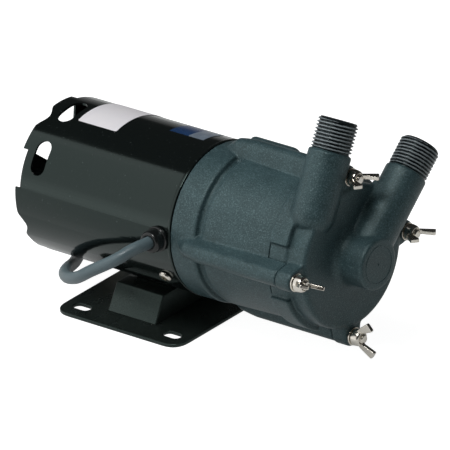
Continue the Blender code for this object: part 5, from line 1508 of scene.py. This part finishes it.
def build_volute():
    """Pump casing: face, inlet boss, bolt ears, collar tabs and the smooth part of both tubes."""
    inlet = tube_frame(INLET_ANGLE, 0.0, INLET_X)
    discharge = tube_frame(DISCHARGE_LEAN, DISCHARGE_OFFSET, DISCHARGE_X)
    inlet_shoulder = INLET_REACH - THREAD_LENGTH
    discharge_shoulder = DISCHARGE_REACH - THREAD_LENGTH
    solids = [lathe(volute_profile(), SHELL_STEPS)]
    flat = [(0.0, 0.0, 0.0), (TUBE_RADIUS, 0.0, 0.0)]
    dome = []
    for step in range(17):
        turn = math.radians(90.0 * step / 16.0)
        rise = DISCHARGE_ROOT + DISCHARGE_DOME * (1.0 - math.cos(turn)) ** 1.3
        dome.append((TUBE_RADIUS * math.sin(turn), rise, 0.0))
    solids.append(put(lathe(tube_profile(flat, inlet_shoulder), TURNED_STEPS), inlet))
    solids.append(put(lathe(tube_profile(dome, discharge_shoulder), TURNED_STEPS), discharge))
    depth = INLET_ABOVE_FACE + VOLUTE_EDGE
    fairing = block((INLET_FAIRING_REACH, 2.0 * TUBE_RADIUS - 0.0004, depth))
    middle = polar(INLET_FAIRING_REACH / 2.0, INLET_ANGLE, INLET_X - depth / 2.0)
    solids.append(put(fairing, Matrix.Translation(middle), turn_z(INLET_ANGLE)))
    tab_gap = 90.0 - COLLAR_TAB_ANGLE
    tab = soften(
        [
            (COLLAR_RADIUS, COLLAR_FRONT, 0.0012),
            (COLLAR_RADIUS, COLLAR_REAR, 0.0),
            (SKIRT_RADIUS - 0.0008, COLLAR_REAR, 0.0),
            (SKIRT_RADIUS - 0.0008, COLLAR_FRONT, 0.0),
        ]
    )
    ear_rear = COLLAR_FRONT + SEAT_GAP
    ear = []
    steps = ((ear_rear, 0.0005), (ear_rear + 0.0005, 0.0), (EAR_FRONT - 0.0010, 0.0))
    for station, inset in (*steps, (EAR_FRONT - 0.0003, 0.0003), (EAR_FRONT, 0.0010)):
        outline = rib_outline(BOLT_CIRCLE, EAR_RADIUS, BOLT_BOSS_FLARE, VOLUTE_RADIUS - EAR_ROOT, inset)
        ear.append((station, outline))
    for angle in BOLT_ANGLES:
        solids.append(lathe(tab, 32, True, angle + tab_gap / 2.0, COLLAR_TAB_ANGLE))
        solids.append(put(rib(ear), turn_z(angle)))
    volute = mould(loose("volute_moulding", *solids), MOULD_VOXEL, 6)
    skirt = SKIRT_RADIUS - 0.0012
    hollow = [
        (0.0, CHAMBER_FRONT),
        (CHAMBER_RADIUS, CHAMBER_FRONT),
        (CHAMBER_RADIUS, PARTING + 0.0031),
        (skirt, PARTING + 0.0031),
        (skirt, COLLAR_REAR - OVERRUN),
        (0.0, COLLAR_REAR - OVERRUN),
    ]
    carve(volute, lathe(hollow, TURNED_STEPS))
    tools = []
    room = 2.0 * SEAT_GAP
    outline = rib_outline(BOLT_CIRCLE, BOLT_BOSS_RADIUS + room, BOLT_BOSS_FLARE, SKIRT_RADIUS - room)
    for angle in BOLT_ANGLES:
        passage = rib([(COLLAR_REAR - OVERRUN, outline), (ear_rear, outline)])
        tools.append(put(passage, turn_z(angle)))
        spot = WASHER_RADIUS + 2.0 * SEAT_GAP
        at = polar(BOLT_CIRCLE, angle, EAR_FRONT - 0.0002)
        tools.append(put(rod(spot, spot, OVERRUN), Matrix.Translation(at)))
    carve(volute, *tools)
    inlet_bore = put(rod(TUBE_BORE, TUBE_BORE, INLET_REACH + OVERRUN), inlet)
    bore_at = shift_to(0.0, 0.0, DISCHARGE_BORE_START)
    discharge_bore = put(rod(TUBE_BORE, TUBE_BORE, DISCHARGE_REACH), discharge, bore_at)
    carve(volute, inlet_bore, discharge_bore)
    eye_rear = CHAMBER_FRONT - EYE_OVERLAP
    eye = rod(INLET_EYE_RADIUS, INLET_EYE_RADIUS, INLET_X - eye_rear)
    carve(volute, put(eye, shift_to(0.0, 0.0, eye_rear)))
    dress(volute, MOULDED, stands_for=["volute"])


def gate_marks():
    """The fine ring and the centre dot that the mould leaves on the inlet boss."""
    ring = []
    for step in range(12):
        turn = math.pi * step / 6.0
        across = GATE_RING_RADIUS + GATE_RING_SIZE * math.cos(turn)
        ring.append((across, BOSS_FRONT + GATE_RING_SIZE * math.sin(turn)))
    dot = [
        (0.0, BOSS_FRONT + 0.00035),
        (0.0004, BOSS_FRONT + 0.0003),
        (0.0007, BOSS_FRONT),
        (0.0007, BOSS_FRONT - 0.0003),
        (0.0, BOSS_FRONT - 0.0003),
    ]
    marks = loose("gate_marks", lathe(ring, TURNED_STEPS, True), lathe(dot, 24))
    dress(marks, MOULDED)


def thread_height(phase):
    """Height of a thread's flank, 0 at its root and 1 at its crest, with both eased."""
    rise = 1.0 - abs(2.0 * (phase % 1.0) - 1.0)
    return ease_step(rise, 0.14, 0.86)


def helix_rows(root, crest, pitch, start, end, rows_per_pitch, steps, fade):
    """Rings of points whose radius follows a screw thread; the thread fades in over its first stretch."""
    count = round((end - start) / pitch * rows_per_pitch)
    rings = []
    for row in range(count + 1):
        station = start + (end - start) * row / count
        grown = ease_step(station, start, start + fade)
        lead = min(1.0, (end - station) / (crest - root) * 0.9)
        ring = []
        for index in range(steps):
            share = index / steps
            height = thread_height((station - start) / pitch - share)
            radius = root + (crest - root) * min(height * grown, lead)
            turn = 2.0 * math.pi * share
            ring.append((radius * math.cos(turn), radius * math.sin(turn), station))
        rings.append(ring)
    return rings


def ring_at(radius, station, steps):
    turns = [2.0 * math.pi * index / steps for index in range(steps)]
    return [(radius * math.cos(turn), radius * math.sin(turn), station) for turn in turns]


def build_thread(name, axes, reach):
    """Male pipe thread round the end of a tube, with its flat end face and its bore."""
    steps = TURNED_STEPS
    shoulder = reach - THREAD_LENGTH
    start = shoulder + 0.0002
    end = reach - 0.0002
    rings = helix_rows(THREAD_ROOT, THREAD_CREST, THREAD_PITCH, start, end, 12, steps, 0.0016)
    wall = (
        (THREAD_ROOT - 0.0002, reach),
        (TUBE_BORE + 0.0004, reach),
        (TUBE_BORE, reach - 0.0004),
        (TUBE_BORE, shoulder - 0.0002),
        (THREAD_ROOT - 0.0001, shoulder - 0.0002),
    )
    rings += [ring_at(radius, station, steps) for radius, station in wall]
    thread = loose(name, loft(rings, hollow=True))
    # Faces near the crest take the pale crest finish, which is a painted highlight
    limit = THREAD_ROOT + 0.66 * (THREAD_CREST - THREAD_ROOT)
    faces = thread.data.polygons
    highlight_faces = [face.index for face in faces if face.center.xy.length > limit]
    dress(thread, THREADED, place=MACHINE @ axes, crease=50.0)
    thread.data.materials.append(CREST_HIGHLIGHT)
    for index in highlight_faces:
        thread.data.polygons[index].material_index = 1


# Fasteners


def stud_mesh():
    """Stud along local Z from its buried end; its exposed end carries a fine thread."""
    length = STUD_BURIED - SEAT_GAP + NUT_FRONT + STUD_PROUD - COLLAR_FRONT
    plain = length - 0.0105
    core = STUD_RADIUS - 0.00045
    steps = 40
    shank = ((STUD_RADIUS - 0.0003, 0.0), (STUD_RADIUS, 0.0003), (STUD_RADIUS, plain))
    rings = [ring_at(radius, station, steps) for radius, station in shank]
    start = plain + 0.0002
    end = length - 0.0001
    rings += helix_rows(core, STUD_RADIUS, STUD_PITCH, start, end, 8, steps, 0.0006)
    rings.append(ring_at(core - 0.0003, length, steps))
    return loft(rings)


def wing_outline():
    """One wing in the plane of the shaft: X outward, Y forward; its foot is inside the hub."""
    foot = WING_HUB_TIP_RADIUS * 0.60
    low = 0.0014
    lean = math.radians(WING_LEAN)
    reach = WING_SPAN / 2.0
    start = Vector((WING_HUB_RADIUS + 0.0005, low + 0.0011))
    tip = Vector((reach, start.y + (reach - start.x) * math.tan(lean)))
    back = tip + Vector((-math.sin(lean), math.cos(lean))) * WING_WIDTH
    return soften(
        [
            (foot, low, 0.0),
            (*start, 0.0010),
            (*tip, 0.0009),
            (*back, 0.0009),
            (WING_HUB_TIP_RADIUS - 0.0005, WING_HUB_HEIGHT + 0.0007, 0.0012),
            (foot, WING_HUB_HEIGHT - 0.0004, 0.0),
        ]
    )


def wing_mesh():
    """One wing: a plate that thins a little toward its tip."""
    bm = slab(wing_outline(), WING_THICKNESS)
    for vert in bm.verts:
        share = ease_step(vert.co.x, WING_HUB_RADIUS, WING_SPAN / 2.0)
        vert.co.z *= 1.20 - 0.20 * share
    stand = Matrix(((1, 0, 0, 0), (0, 0, -1, 0), (0, 1, 0, 0), (0, 0, 0, 1)))
    return put(bm, stand)


def nut_shape():
    """Hub and two wings as one casting, with its bore and countersink."""
    hub = soften(
        [
            (0.0, 0.0, 0.0),
            (WING_HUB_RADIUS, 0.0, 0.0006),
            (WING_HUB_RADIUS, WING_HUB_HEIGHT * 0.45, 0.0012),
            (WING_HUB_TIP_RADIUS, WING_HUB_HEIGHT, 0.0013),
            (0.0, WING_HUB_HEIGHT, 0.0),
        ],
        closed=False,
    )
    solids = [lathe(hub, SMALL_STEPS), wing_mesh(), put(wing_mesh(), turn_z(180.0))]
    nut = mould(loose("wing_nut_casting", *solids), NUT_VOXEL, 5)
    bore = STUD_RADIUS + SEAT_GAP / 2.0
    sink = 0.0005
    profile = [
        (0.0, -0.001),
        (bore, -0.001),
        (bore, WING_HUB_HEIGHT - sink),
        (bore + sink + 0.001, WING_HUB_HEIGHT + 0.001),
        (0.0, WING_HUB_HEIGHT + 0.001),
    ]
    return carve(nut, lathe(profile, SMALL_STEPS))


def build_fasteners():
    nut = nut_shape()
    nut_mesh = nut.data
    bpy.data.objects.remove(nut)
    stud_bm = stud_mesh()
    washer_profile = soften(
        [
            (WASHER_RADIUS, WASHER_THICKNESS, 0.0002),
            (WASHER_RADIUS, 0.0, 0.0002),
            (STUD_RADIUS + SEAT_GAP, 0.0, 0.0),
            (STUD_RADIUS + SEAT_GAP, WASHER_THICKNESS, 0.0),
        ]
    )
    for key, angle in zip(BOLT_NAMES, BOLT_ANGLES):
        rear = COLLAR_FRONT - STUD_BURIED + SEAT_GAP
        stud = loose(f"stud_{key}", stud_bm.copy())
        at = MACHINE @ Matrix.Translation(polar(BOLT_CIRCLE, angle, rear))
        dress(stud, BRIGHT, stands_for=[f"casing_stud_{key}"], place=at)
        washer = loose(f"washer_{key}", lathe(washer_profile, SMALL_STEPS, True))
        at = MACHINE @ Matrix.Translation(polar(BOLT_CIRCLE, angle, EAR_FRONT + SEAT_GAP))
        dress(washer, BRIGHT, stands_for=[f"stud_washer_{key}"], place=at)
        casting = add_object(f"nut_casting_{key}", nut_mesh.copy())
        at = MACHINE @ Matrix.Translation(polar(BOLT_CIRCLE, angle, NUT_SEAT)) @ turn_z(WING_BEARINGS[key])
        dress(casting, BRIGHT, f"nut_{key}", [f"wing_nut_{key}"], at)
    stud_bm.free()


place_camera()
lay_table()
hang_panel()
paint_sky()
hang_fill("far_fill", (0.9, 0.7, 0.9), (0.05, 0.0, 0.06), 0.9, 0.22, False)
hang_fill("overhead", (0.16, -0.40, 0.90), (0.13, 0.02, 0.08), 0.34, 11.0, True)
hang_fill("label_light", (-0.55, -0.10, 1.25), (0.0, 0.0, 0.06), 0.80, 2.6, False)
finish_frame_nodes()
lay_cord(build_plug())
build_foot_plate()
build_pedestal()
build_cradle()
build_shell()
build_label()
build_ground_screw()
build_relief()
build_bracket()
build_volute()
gate_marks()
build_thread("inlet_thread", tube_frame(INLET_ANGLE, 0.0, INLET_X), INLET_REACH)
build_thread("discharge_thread", tube_frame(DISCHARGE_LEAN, DISCHARGE_OFFSET, DISCHARGE_X), DISCHARGE_REACH)
build_fasteners()
